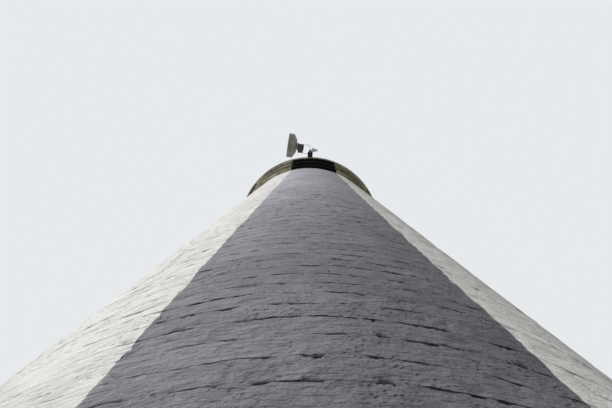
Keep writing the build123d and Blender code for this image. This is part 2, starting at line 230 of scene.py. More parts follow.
def smooth(piece: Piece, angle: float = 40.0) -> Piece:
    """Shade a piece smooth between its sharp edges.

    Args:
        piece: Piece to finish.
        angle: Angle in degrees past which an edge is sharp.

    Returns:
        The same piece.
    """
    activate(piece)
    bpy.ops.object.shade_smooth_by_angle(angle=math.radians(angle))
    return piece


def join(name: str, *pieces: Piece) -> Piece:
    """Join several pieces into one.

    Args:
        name: Name of the joined piece.
        pieces: Pieces to join.

    Returns:
        The joined object.
    """
    whole = activate(pieces[0])
    for piece in pieces:
        piece.select_set(True)
    bpy.ops.object.join()
    whole.name = whole.data.name = name
    return whole


def repeat(name: str, piece: Piece, places: Iterable[Matrix], seed: int = 1) -> Piece:
    """Copy a piece to several places, each copy with its own mesh and its own tone, and join the copies.

    Args:
        name: Name of the joined piece.
        piece: Piece that is copied and then removed.
        places: One matrix for each copy.
        seed: Start of the repeatable tones.

    Returns:
        The joined object.
    """
    copies = []
    for index, place in enumerate(places):
        mesh = piece.data.copy()
        mesh.transform(place)
        mark(mesh, "tone", np.full(len(mesh.vertices), float(hashed(index, seed)) - 0.5))
        copies.append(add_mesh(f"{name}_{index}", mesh))
    bpy.data.objects.remove(piece)
    return join(name, *copies)


def turned(angle: float, axis: str = "Z") -> Matrix:
    """Turn about an axis, in radians."""
    return Matrix.Rotation(angle, 4, axis)


def turns_round(count: int, first: float = 0.0) -> list[Matrix]:
    """Even turns about the tower's axis, from a first one in radians."""
    return [turned(first + index * 2 * math.pi / count) for index in range(count)]


def spin_profile(
    name: str, profile: Profile, sweep: float = 2 * math.pi, start: float = 0.0, steps: int = 64
) -> Piece:
    """Spin a closed profile of radius and height about the tower's axis.

    Args:
        name: Name of the piece.
        profile: Corners as (radius, height).
        sweep: Angle that the profile is spun through.
        start: Azimuth where it starts, counted from the right.
        steps: Number of steps of the spin.

    Returns:
        The closed piece.
    """
    fill = "NOTHING" if math.isclose(sweep, 2 * math.pi) else "NGON"
    piece = add_primitive(
        bpy.ops.mesh.primitive_circle_add, name, vertices=len(profile), radius=1, fill_type=fill
    )
    for vertex, (radius, height) in zip(piece.data.vertices, profile):
        vertex.co = (radius * math.cos(start), radius * math.sin(start), height)
    with Editing(piece) as editing:
        bpy.ops.mesh.spin(steps=steps, angle=-sweep, center=(0, 0, 0), axis=(0, 0, 1))
        editing.everything()
        bpy.ops.mesh.remove_doubles(threshold=0.00002)
        editing.everything()
        bpy.ops.mesh.normals_make_consistent(inside=False)
    return piece


def rectangle(inner: float, outer: float, bottom: float, top: float) -> Profile:
    """Closed profile between two radii and two heights."""
    return [(inner, bottom), (outer, bottom), (outer, top), (inner, top)]


def copy_node(name: str, node: str, edge: float = 0.0, segments: int = 2) -> Piece:
    """Copy a CAD node as a piece of its own, with its loose triangles merged and its edges rounded.

    Args:
        name: Name of the piece.
        node: CAD node that it is copied from.
        edge: Width of the rounded edges, or 0 for none.
        segments: Faces across each rounded edge.

    Returns:
        The new piece.
    """
    piece = add_mesh(name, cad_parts[node].data.copy())
    piece.data.materials.clear()
    with Editing(piece):
        bpy.ops.mesh.customdata_custom_splitnormals_clear()
        bpy.ops.mesh.remove_doubles(threshold=0.0001)
        bpy.ops.mesh.dissolve_limited(angle_limit=math.radians(1.0))
    return bevel(piece, edge, segments) if edge else smooth(piece)


def mark(mesh: bpy.types.Mesh, name: str, values: Array) -> None:
    """Store one number for each vertex as an attribute that a material can read."""
    layer = mesh.attributes.get(name) or mesh.attributes.new(name, "FLOAT", "POINT")
    layer.data.foreach_set("value", values.astype(np.float32).ravel())


def finish_piece(piece: Piece, finish: Finish, *stands_for: str, slot: Slot | None = None) -> None:
    """Dress a new piece and set it on the body.

    Args:
        piece: Finished mesh.
        finish: Finish whose material it gets.
        stands_for: CAD nodes that the piece replaces.
        slot: Record slot, where it isn't the finish's own; it is not used.
    """
    piece.data.materials.clear()
    piece.data.materials.append(finish.material())
    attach(piece, BODY)
    if stands_for:
        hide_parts(*stands_for)
    LOG.info("%s: %d faces", piece.name, len(piece.data.polygons))


def dress_nodes(ending: str, finish: Finish, segments: int = 2, **edges: float) -> None:
    """Put finished copies, named by an ending, in the places of nodes that are given with edge widths."""
    for node, edge in edges.items():
        finish_piece(copy_node(f"{node}_{ending}", node, edge, segments), finish, node)


def node_places(node: str) -> Array:
    """Corners of a CAD node, one row of x, y and z for each."""
    return np.array([vertex.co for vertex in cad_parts[node].data.vertices])


def node_radius(node: str, height: float) -> float:
    """Largest radius of a CAD node's corners at one height."""
    places = node_places(node)
    return float(np.hypot(*places[np.abs(places[:, 2] - height) < 0.001, :2].T).max())


def bore_radius(node: str) -> float:
    """Radius of the hole through a ring-shaped CAD node."""
    return float(np.hypot(*node_places(node)[:, :2].T).min())


# Repeatable noise


def hashed(*keys: Array | float) -> Array:
    """Repeatable number from 0 to 1 for each set of whole keys."""
    wave = 43758.5453 * np.sin(sum(np.asarray(key) * weight for key, weight in zip(keys, HASH_WEIGHTS)))
    return wave - np.floor(wave)


def soft_step(low: float, high: float, value: Array) -> Array:
    """Smooth step from 0 at low to 1 at high."""
    share = np.clip((value - low) / (high - low), 0, 1)
    return share * share * (3 - 2 * share)


def soft_noise(across: Array, up: Array, seed: float, period: int) -> Array:
    """Smooth noise from -1 to 1 on a plane of unit cells.

    Args:
        across: Place across, in cells.
        up: Place upwards, in cells.
        seed: Start of the noise.
        period: Cells after which it repeats across.

    Returns:
        The noise at each place.
    """
    column, row = np.floor(across), np.floor(up)
    right, above = soft_step(0, 1, across - column), soft_step(0, 1, up - row)

    def line(step: int) -> Array:
        """Noise along the lower or the upper side of each cell."""
        ends = [hashed(np.mod(column + side, period), row + step, seed) for side in (0, 1)]
        return ends[0] * (1 - right) + ends[1] * right

    return 2 * (line(0) * (1 - above) + line(1) * above) - 1


@dataclass
class Coursing:
    """Coursed blocks under thick paint: where their beds run and how far each place stands out.

    Depths, heights and lengths are in metres. A share is of all the blocks, or of a bed's length.
    """

    bottom: float
    top: float
    courses: int
    foot_radius: float
    head_radius: float
    block_length: float = 0.294
    seed: int = 3
    bed_jitter: float = 0.07
    bed_wave: float = 0.012
    joint_depth: float = 0.0028
    joint_half_height: float = 0.0095
    joint_wander: float = 0.007
    joint_rag: float = 0.005
    slit_depth: float = 0.011
    slit_share: float = 0.30
    streak_length: float = 0.08
    perpend_depth: float = 0.0028
    perpend_half_width: float = 0.014
    perpend_shift: float = 0.34
    block_step: float = 0.0017
    block_tilt: float = 0.0032
    rough_share: float = 0.09
    pit_depth: float = 0.008
    hole_share: float = 0.10
    hole_depth: float = 0.018
    hole_height: float = 0.030
    hole_length: float = 0.075
    swell: float = 1.0
    swells: tuple[tuple[float, float], ...] = (
        (0.0055, 0.62), (0.0042, 0.21), (0.0028, 0.075), (0.0015, 0.030)
    )
    beds: Array = field(init=False)

    def __post_init__(self) -> None:
        """Set the beds out, a little uneven between the exact top and bottom."""
        pitch = (self.top - self.bottom) / self.courses
        self.beds = np.linspace(self.bottom, self.top, self.courses + 1)
        shift = (hashed(np.arange(self.courses + 1), self.seed) - 0.5) * 2 * self.bed_jitter * pitch
        self.beds[1:-1] += shift[1:-1]

    def radius_at(self, height: Array) -> Array:
        """Mean radius of the wall's face at a height."""
        share = (height - self.bottom) / (self.top - self.bottom)
        return self.foot_radius + (self.head_radius - self.foot_radius) * share

    def level(self, course: Array) -> Array:
        """Height of a place that is given in courses from the bottom."""
        return np.interp(course, np.arange(self.courses + 1), self.beds)

    def course_at(self, height: float) -> float:
        """Place in courses from the bottom of a height in metres."""
        return float(np.interp(height, self.beds, np.arange(self.courses + 1)))

    def cells_round(self, size: float) -> int:
        """Whole number of cells of one length that fit round the tower's foot."""
        return max(1, round(2 * math.pi * self.foot_radius / size))

    def noise(self, azimuth: Array, up: Array, size: float, seed: float) -> Array:
        """Smooth noise from -1 to 1 round the tower, in cells of a length, with the place up in cells."""
        count = self.cells_round(size)
        return soft_noise(azimuth / (2 * math.pi) * count, up, self.seed + seed, count)

    def wave(self, azimuth: Array, course: Array) -> Array:
        """How far the beds wander up and down along the wall."""
        slow = self.noise(azimuth, course * 0.5, 0.9, 11)
        return self.bed_wave * (slow + 0.45 * self.noise(azimuth, course * 0.9, 0.27, 12))

    def relief(self, azimuth: Array, course: Array) -> dict[str, Array]:
        """Shape of the face at each place.

        Args:
            azimuth: Angle from the front, in radians.
            course: Place in courses from the bottom.

        Returns:
            For each place, "outwards" in metres, how open its "joint" is and how "rough" it is, both
            from 0 to 1, the "tone" of its block from -0.5 to 0.5, and its "course".
        """
        height = self.level(course)
        row = np.clip(np.floor(course), 0, self.courses - 1)
        bed = np.round(course)
        above_bed = (course - bed) * (self.level(row + 1) - self.level(row))
        blocks = np.round(2 * math.pi * self.radius_at(self.level(row + 0.5)) / self.block_length)
        place = azimuth / (2 * math.pi) * blocks + 0.5 * np.mod(row, 2) + 0.35 * hashed(row, self.seed)
        near = np.round(place)
        perpend = near + self.perpend_shift * (hashed(row, np.mod(near, blocks), self.seed + 1) - 0.5)
        block = np.mod(np.where(place >= perpend, near, near - 1), blocks)
        from_perpend = np.abs(place - perpend) * self.block_length

        def chance(offset: int) -> Array:
            """Number from 0 to 1 that each block keeps."""
            return hashed(row, block, self.seed + offset)

        def noise(size: float, seed: float) -> Array:
            """Noise with cells of one size in metres."""
            return self.noise(azimuth, height / size, size, seed)

        ragged = noise(0.045, 21)
        from_line = np.abs(above_bed + self.joint_wander * noise(0.19, 23) + self.joint_rag * ragged)
        count = self.cells_round(self.streak_length)
        streak = soft_noise(
            azimuth / (2 * math.pi) * count + 0.4 * hashed(bed, 5), bed * 3.7, self.seed + 22, count
        )
        open_bed = soft_step(
            1 - 2 * self.slit_share, 1 - self.slit_share, streak + 0.35 * ragged + 0.45 * noise(0.55, 25)
        )
        groove = np.clip(1 - from_line / self.joint_half_height, 0, 1)
        sunk = soft_step(0.1, 0.7, noise(0.12, 24) + 0.6 * ragged)
        slot = np.clip(1 - from_perpend / self.perpend_half_width, 0, 1)
        slot = slot * (chance(2) - 0.45) * soft_step(-0.1, 0.5, ragged)
        settle = soft_step(0, 0.05, np.abs(above_bed)) * soft_step(0, 0.03, from_perpend)
        lean = (chance(4) - 0.5) * (course - row - 0.5) + (chance(5) - 0.5) * np.abs(place - perpend)
        rough_block = soft_step(1 - self.rough_share, 1 - 0.6 * self.rough_share, chance(6)) * settle
        pits = soft_step(0.05, 0.6, noise(0.034, 31) + 0.3 * noise(0.016, 32))
        broken = (chance(18) < self.hole_share) * (0.6 + 0.4 * chance(9))
        off_centre = (from_line / self.hole_height) ** 2 + (from_perpend / self.hole_length) ** 2
        zone = broken * np.exp(-off_centre)
        hole = soft_step(0.32, 0.62, zone + 0.30 * noise(0.026, 33) + 0.25 * ragged - 0.05)
        swell = sum(depth * noise(size, 41 + index) for index, (depth, size) in enumerate(self.swells))
        outwards = (2 * self.block_step * (chance(3) - 0.5) + 2 * self.block_tilt * lean) * settle
        outwards += self.swell * swell - groove * (self.joint_depth * sunk + self.slit_depth * open_bed)
        outwards -= self.perpend_depth * slot + self.pit_depth * rough_block * pits + self.hole_depth * hole
        joint = np.clip(2.0 * groove * open_bed + 2.4 * hole, 0, 1)
        rough = np.clip(0.3 * rough_block + zone, 0, 1)
        return dict(outwards=outwards, joint=joint, rough=rough, tone=chance(7) - 0.5, course=course)


@dataclass(frozen=True)
class WallSide:
    """Side of a share of the wall: an azimuth, or a line beside it at a distance to its left."""

    azimuth: float
    offset: float = 0.0

    def at(self, radius: Array) -> Array:
        """Azimuth of the side at each radius."""
        return self.azimuth - np.arcsin(self.offset / np.asarray(radius))


def stripe_sides(index: int) -> Sides:
    """Left and right sides of a stripe, counted round the tower from the front one."""
    return WallSide((index - 0.5) * STRIPE_TURN), WallSide((index + 0.5) * STRIPE_TURN)


class Fineness(Enum):
    """How finely relief is modelled: columns across a stripe, and rows within each course."""

    NEAR = (180, (0.0, 0.022, 0.05, 0.11, 0.22, 0.35, 0.5, 0.65, 0.79, 0.90, 0.955, 0.982))
    MIDDLE = (84, (0.0, 0.035, 0.12, 0.38, 0.65, 0.88, 0.965))
    FAR = (48, (0.0, 0.042, 0.35, 0.65, 0.958))
    DRUM = (64, (0.0, 0.04, 0.1, 0.5, 0.9, 0.96))


@dataclass
class WallWedge:
    """One closed share of a coursed wall, with its outer face in relief."""

    name: str
    coursing: Coursing
    inner_radius: float
    bottom: float
    top: float
    left: WallSide
    right: WallSide
    fineness: Fineness
    share: float = 1.0
    inner_steps: int = 6

    def rows(self) -> Array:
        """Set out the grid's rows, with more of them beside the beds.

        Returns:
            Place of each row in courses from the bottom.
        """
        first, last = self.coursing.course_at(self.bottom), self.coursing.course_at(self.top)
        parts = self.fineness.value[1]
        inside = np.array([row + part for row in range(self.coursing.courses) for part in parts])
        inside = inside[(inside > first + 0.015) & (inside < last - 0.015)]
        return np.concatenate(([first], inside, [last]))

    def azimuth_at(self, across: Array, height: Array) -> Array:
        """Azimuth on the outer face of each place across the grid, at its height."""
        radius = self.coursing.radius_at(height)
        return self.left.at(radius) * (1 - across) + self.right.at(radius) * across

    def build(self) -> Piece:
        """Add a flat grid, bend it round the tower in relief and close it with plain faces behind.

        Returns:
            The closed piece.
        """
        rows = self.rows()
        columns = max(6, round(self.fineness.value[0] * self.share))
        piece = add_primitive(
            bpy.ops.mesh.primitive_grid_add, self.name, x_subdivisions=columns,
            y_subdivisions=len(rows) - 1, size=2
        )
        mesh = piece.data
        flat = np.empty(len(mesh.vertices) * 3, np.float32)
        mesh.vertices.foreach_get("co", flat)
        across, up, _ = (flat.reshape(-1, 3).astype(np.float64).T + 1) / 2
        row = np.rint(up * (len(rows) - 1)).astype(int)
        course = rows[row]
        level = self.coursing.level(course)
        azimuth = self.azimuth_at(across, level)
        ends = np.minimum(level - self.bottom, self.top - level)
        height = level + self.coursing.wave(azimuth, course) * soft_step(0, 0.12, ends)
        azimuth = self.azimuth_at(across, height)
        shape = self.coursing.relief(azimuth, course)
        radius = self.coursing.radius_at(height) + shape.pop("outwards")
        bent = np.column_stack((radius * np.sin(azimuth), -radius * np.cos(azimuth), height))
        mesh.vertices.foreach_set("co", bent.astype(np.float32).ravel())
        for name, values in shape.items():
            mark(mesh, name, values)
        self.close(mesh, across, row)
        return smooth(piece, 62)

    def close(self, mesh: bpy.types.Mesh, across: Array, row: Array) -> None:
        """Give the bent grid its sides, ends and plain inner face.

        Args:
            mesh: Mesh of the bent grid.
            across: Place of each vertex across the grid, from 0 to 1.
            row: Row of each vertex.
        """
        solid = bmesh.new()
        solid.from_mesh(mesh)
        solid.verts.ensure_lookup_table()

        def edge_line(test: Array, order: Array) -> list[bmesh.types.BMVert]:
            """Vertices that pass a test, in order."""
            chosen = np.flatnonzero(test)
            return [solid.verts[index] for index in chosen[np.argsort(order[chosen])]]

        radius = self.inner_radius
        turns = np.linspace(self.left.at(radius), self.right.at(radius), self.inner_steps + 1)

        def inner_line(height: float) -> list[bmesh.types.BMVert]:
            """New vertices along the inner face at one height."""
            return [
                solid.verts.new((radius * math.sin(turn), -radius * math.cos(turn), height))
                for turn in turns
            ]

        left_line, right_line = edge_line(across < 1e-6, row), edge_line(across > 1 - 1e-6, row)
        foot_line, head_line = edge_line(row == 0, across), edge_line(row == row.max(), across)
        foot, head = inner_line(self.bottom), inner_line(self.top)
        solid.faces.new(left_line[::-1] + [foot[0], head[0]])
        solid.faces.new(right_line + [head[-1], foot[-1]])
        solid.faces.new(foot_line[::-1] + foot)
        solid.faces.new(head_line + head[::-1])
        for index in range(self.inner_steps):
            solid.faces.new((foot[index + 1], foot[index], head[index], head[index + 1]))
        bmesh.ops.recalc_face_normals(solid, faces=solid.faces)
        solid.to_mesh(mesh)
        solid.free()


# Materials


@dataclass(frozen=True)
class Wire:
    """Result of a node, with arithmetic that adds Math nodes to its graph."""

    graph: Graph
    socket: Socket

    def __add__(self, other: Value) -> Wire:
        """Add a number or another wire."""
        return self.graph.math("ADD", self, other)

    def __sub__(self, other: Value) -> Wire:
        """Take away a number or another wire."""
        return self.graph.math("SUBTRACT", self, other)

    def __mul__(self, other: Value) -> Wire:
        """Multiply by a number or another wire."""
        return self.graph.math("MULTIPLY", self, other)

    def __truediv__(self, other: Value) -> Wire:
        """Divide by a number or another wire."""
        return self.graph.math("DIVIDE", self, other)

    def spread(self, low: float, high: float, start: float = 0.0, end: float = 1.0) -> Wire:
        """Map the range from low to high smoothly onto the one from start to end, and clamp it."""
        inputs = {"Value": self, "From Min": low, "From Max": high, "To Min": start, "To Max": end}
        return self.graph.add("ShaderNodeMapRange", inputs, interpolation_type="SMOOTHSTEP")[0]


@dataclass(frozen=True)
class Step:
    """One node, whose results are read and whose inputs are set by name or number."""

    graph: Graph
    node: bpy.types.Node

    def __getitem__(self, name: str | int) -> Wire:
        """Wire from one of its outputs."""
        return Wire(self.graph, self.node.outputs[name])

    def __setitem__(self, name: str | int, value: Value) -> None:
        """Link a wire to one of its inputs, or set the input's own value.

        Args:
            name: Name or number of the input.
            value: Wire or plain value.
        """
        socket = self.node.inputs[name]
        if isinstance(value, Wire):
            self.graph.tree.links.new(value.socket, socket)
        else:
            socket.default_value = (*value, 1.0) if socket.type == "RGBA" else value


@dataclass(frozen=True)
class Graph:
    """Adds nodes to one tree."""

    tree: bpy.types.NodeTree

    def add(self, kind: str, inputs: dict[str | int, Value] | None = None, **settings: object) -> Step:
        """Add a node, set it and feed its inputs.

        Args:
            kind: Blender's name of the node type.
            inputs: Value or wire for each named or numbered input.
            settings: The node's own properties.

        Returns:
            The new node as a step.
        """
        step = Step(self, self.tree.nodes.new(kind))
        for name, value in settings.items():
            setattr(step.node, name, value)
        for name, value in (inputs or {}).items():
            step[name] = value
        return step

    def math(self, operation: str, *values: Value, clamp: bool = False) -> Wire:
        """Work out one number from others, kept from 0 to 1 where it is clamped."""
        return self.add("ShaderNodeMath", dict(enumerate(values)), operation=operation, use_clamp=clamp)[0]

    def mix(self, share: Value, first: Value, second: Value, blend: str = "MIX") -> Wire:
        """Mix two colours by a share of the second one."""
        inputs = {0: share, 6: first, 7: second}
        return self.add("ShaderNodeMix", inputs, data_type="RGBA", blend_type=blend)[2]

    def tint(self, colour: Value, factor: Wire) -> Wire:
        """Make a colour darker or lighter by a factor."""
        return self.mix(1.0, colour, factor, "MULTIPLY")

    def place(self, scale: Place = (1, 1, 1)) -> Wire:
        """Object coordinates, stretched by a scale along each axis."""
        inputs = {"Vector": self.add("ShaderNodeTexCoord")["Object"], "Scale": scale}
        return inputs["Vector"] if scale == (1, 1, 1) else self.add("ShaderNodeMapping", inputs)[0]

    def axes(self) -> Step:
        """Object coordinates as the single numbers X, Y and Z."""
        return self.add("ShaderNodeSeparateXYZ", {"Vector": self.place()})

    def noise(
        self, scale: Value, detail: float = 3.0, roughness: float = 0.55, stretch: Place = (1, 1, 1)
    ) -> Wire:
        """Noise around 0.5, with waves per metre, finer layers and their strength, and stretched axes."""
        inputs = {"Vector": self.place(stretch), "Scale": scale, "Detail": detail, "Roughness": roughness}
        return self.add("ShaderNodeTexNoise", inputs)[0]

    def attribute(self, name: str) -> Wire:
        """Number stored on the piece's vertices."""
        return self.add("ShaderNodeAttribute", attribute_name=name)["Fac"]

    def bump(self, height: Wire, distance: float, strength: float = 1.0, under: Wire | None = None) -> Wire:
        """Normal of a height, where 1 stands for a distance in metres, laid over another normal."""
        inputs = {"Height": height, "Distance": distance, "Strength": strength}
        return self.add("ShaderNodeBump", inputs | ({"Normal": under} if under else {}))[0]

    def group(self, tree: bpy.types.NodeTree, **values: Value) -> Step:
        """Place a node group with its own values."""
        inputs = {name.replace("_", " "): value for name, value in values.items()}
        return self.add("ShaderNodeGroup", inputs, node_tree=tree)


def start_group(name: str, inputs: dict[str, float], outputs: Sequence[str]) -> tuple[Graph, Step, Step]:
    """Start a node group with named sockets.

    Args:
        name: Name of the group.
        inputs: Name and standard value of each input.
        outputs: Name of each output.

    Returns:
        The group's graph, what it is given and its results.
    """
    tree = bpy.data.node_groups.new(name, "ShaderNodeTree")
    for title, value in inputs.items():
        socket = tree.interface.new_socket(name=title, in_out="INPUT", socket_type="NodeSocketFloat")
        socket.default_value = value
    for title in outputs:
        tree.interface.new_socket(name=title, in_out="OUTPUT", socket_type="NodeSocketFloat")
    graph = Graph(tree)
    return graph, graph.add("NodeGroupInput"), graph.add("NodeGroupOutput")


@cache
def stripe_mask() -> bpy.types.NodeTree:
    """Group that tells the dark stripes from the white ones, with hand-painted edges.

    Returns:
        The group; its output Dark is 1 on the dark stripes.
    """
    graph, given, result = start_group("stripe_mask", {"Wobble": 0.012, "Softness": 0.004}, ["Dark"])
    axes = graph.axes()
    lean = axes["Z"].spread(*LEAN_HEIGHTS, 0.0, STRIPE_LEAN)
    azimuth = graph.math("ARCTAN2", axes["X"], axes["Y"] * -1.0) - lean
    stripe = azimuth / STRIPE_TURN + 0.5
    side = graph.math("SINE", stripe * math.pi) * 0.54
    drift = (graph.noise(7.0, 1.0) - 0.5) * 2.2 + (graph.noise(34.0, 2.0) - 0.5) * 0.9
    edge = side + drift * given["Wobble"]
    result["Dark"] = graph.math("ADD", edge / given["Softness"], 0.5, clamp=True)
    return graph.tree


@cache
def weathering() -> bpy.types.NodeTree:
    """Group of masks for what weather does: broad patches, runs of water down the face, and specks.

    Returns:
        The group, with the outputs Patches, Runs and Specks.
    """
    scales = {"Patch Scale": 1.4, "Run Scale": 5.0, "Speck Scale": 26.0}
    graph, given, result = start_group("weathering", scales, ["Patches", "Runs", "Specks"])
    runs = graph.noise(given["Run Scale"], 3.0, 0.6, (1, 1, 0.09))
    result["Patches"] = graph.noise(given["Patch Scale"], 4.0, 0.6).spread(0.3, 0.7)
    result["Runs"] = runs.spread(0.5, 0.75)
    result["Specks"] = graph.noise(given["Speck Scale"], 2.0, 0.7).spread(0.6, 0.74)
    return graph.tree


@cache
def grain() -> bpy.types.NodeTree:
    """Group of one fine height: grains and pits over soft lumps.

    Returns:
        The group, with the output Height.
    """
    graph, given, result = start_group("grain", {"Scale": 12.0, "Pits": 0.5}, ["Height"])
    cells = {"Vector": graph.place(), "Scale": given["Scale"] * 3.6}
    pits = graph.add("ShaderNodeTexVoronoi", cells)["Distance"]
    few = pits.spread(0.0, 0.42, 1.0, 0.0) * given["Pits"] * graph.noise(4.0, 2.0).spread(0.5, 0.66)
    result["Height"] = graph.noise(given["Scale"], 6.0, 0.62) - few
    return graph.tree


@cache
def bed_lines() -> bpy.types.NodeTree:
    """Group that draws broken, ragged joints along the beds of coursed blocks.

    Returns:
        The group; its output Open is 1 in the open stretches, and Line is 1 along every bed.
    """
    sizes = {"Course": 0.0, "Pitch": 0.22, "Width": 0.010, "Closed": 0.505}
    graph, given, result = start_group("bed_lines", sizes, ["Open", "Line"])
    off = given["Course"] - graph.math("ROUND", given["Course"])
    wander = (graph.noise(4.5, 2.0) - 0.5) * 0.045
    ragged = (graph.noise(30.0, 4.0, 0.7) - 0.5) * 0.020
    level = off * given["Pitch"] + (wander + ragged)
    width = given["Width"] * graph.noise(9.0, 2.0).spread(0.3, 0.7, 0.25, 1.75)
    line = (graph.math("ABSOLUTE", level) / width).spread(0.42, 1.0, 1.0, 0.0)
    part = graph.noise(6.5, 3.0, 0.62, (1, 1, 1.6)) - given["Closed"]
    result["Open"] = line * part.spread(0.0, 0.06)
    result["Line"] = line * part.spread(-0.09, 0.04)
    return graph.tree


@dataclass(frozen=True)
class Finish:
    """A finish that makes one material, which all its pieces share."""

    name: str
    slot: Slot

    def material(self) -> bpy.types.Material:
        """Make the material the first time, and give the same one after that.

        Returns:
            The material.
        """
        made = bpy.data.materials.get(self.name)
        if made is None:
            made = bpy.data.materials.new(self.name)
            made.use_nodes = True
            made.node_tree.nodes.clear()
            graph = Graph(made.node_tree)
            shader = graph.add("ShaderNodeBsdfPrincipled")
            graph.add("ShaderNodeOutputMaterial", {"Surface": shader[0]})
            self.dress(graph, shader)
        return made

    def dress(self, graph: Graph, shader: Step) -> None:
        """Feed the shader, in each finish's own way."""
        raise NotImplementedError

    def weather(self, graph: Graph, patches: float, runs: float, specks: float) -> Step:
        """Weathering with its three scales."""
        return graph.group(weathering(), Patch_Scale=patches, Run_Scale=runs, Speck_Scale=specks)


@dataclass(frozen=True)
class MasonryPaint(Finish):
    """Thick masonry paint on blocks, in dark and white stripes, with open joints, weather, painted shade and
    painted sheen.
    """

    pitch: float = 0.223
    dark: Colour = (0.245, 0.242, 0.276)
    dark_worn: Colour = (0.310, 0.306, 0.341)
    white: Colour = (0.790, 0.785, 0.775)
    white_worn: Colour = (0.735, 0.730, 0.718)
    grime: Colour = (0.42, 0.40, 0.35)
    # Near-black colour of painted shade in open joints, holes, pits and streaks along the beds.
    gap: Colour = (0.009, 0.009, 0.010)

    def dress(self, graph: Graph, shader: Step) -> None:
        """Feed the shader with stripes, block tones, open joints, painted shade, a painted sheen and brushed
        relief.

        Args:
            graph: Graph of the material.
            shader: Its shader.
        """
        dark = graph.group(stripe_mask())["Dark"]
        weather = self.weather(graph, 1.1, 4.0, 30.0)
        fine = graph.group(grain(), Scale=9.0, Pits=0.7)["Height"]
        beds = graph.group(bed_lines(), Course=graph.attribute("course"), Pitch=self.pitch)
        joint, rough, tone = (graph.attribute(name) for name in ("joint", "rough", "tone"))
        grey = graph.mix(weather["Patches"], self.dark, self.dark_worn)
        axes = graph.axes()
        # Painted light: the dark paint is made lighter upwards and towards -X and darker towards +X, a
        # painted sheen and painted shade.
        painted_sheen_and_shade = axes["Z"].spread(3.0, 16.0, 0.78, 1.60) * axes["X"].spread(-0.9, 0.9, 1.18, 0.80)
        grey = graph.tint(grey, painted_sheen_and_shade)
        white = graph.mix(weather["Patches"], self.white, self.white_worn)
        white = graph.mix(weather["Runs"] * 0.16, white, self.grime)
        paint = graph.mix(dark, white, grey)
        paint = graph.tint(paint, tone.spread(-0.5, 0.5, 0.955, 1.03))
        paint = graph.tint(paint, fine.spread(0.25, 0.75, 0.93, 1.035))
        strokes = graph.noise(7.0, 4.0, 0.68, (1, 1, 5.0))
        faint = dark.spread(0, 1, 0.30, 1.0)
        # Painted shade: the gap colour darkens streaks and lines along the beds, where shade falls under the
        # block edges.
        shade = strokes.spread(0.53, 0.64, 0.0, 0.28) * faint + beds["Line"] * 0.52 * faint
        paint = graph.mix(shade, paint, self.gap)
        # Painted shade in the pits of rough blocks, in the gap colour.
        worn = rough.spread(0.4, 0.75) * graph.noise(36.0, 3.0, 0.7).spread(0.50, 0.56)
        paint = graph.mix(worn * 0.92, paint, self.gap)
        # Painted shade in open joints and holes, in the gap colour.
        opened = graph.math("MAXIMUM", beds["Open"] * faint, joint * dark.spread(0, 1, 0.5, 1.0))
        shader["Base Color"] = graph.mix(opened, paint, self.gap)
        shader["Roughness"] = fine.spread(0.25, 0.75, 0.92, 0.78)
        rugged = graph.noise(13.0, 5.0, 0.62, (1, 1, 2.2)) + fine - 1.0
        pitted = graph.bump(rugged * dark.spread(0, 1, 0.55, 1.0), 0.040, 0.95)
        cut = graph.bump(strokes * 0.6 - beds["Line"] * 0.7, 0.020, 0.9, pitted)
        flaked = graph.noise(58.0, 4.0, 0.7) * rough.spread(0, 1, 0.6, 1.6)
        shader["Normal"] = graph.bump(flaked, 0.008, 0.85, cut)
        shader["Specular IOR Level"] = 0.06


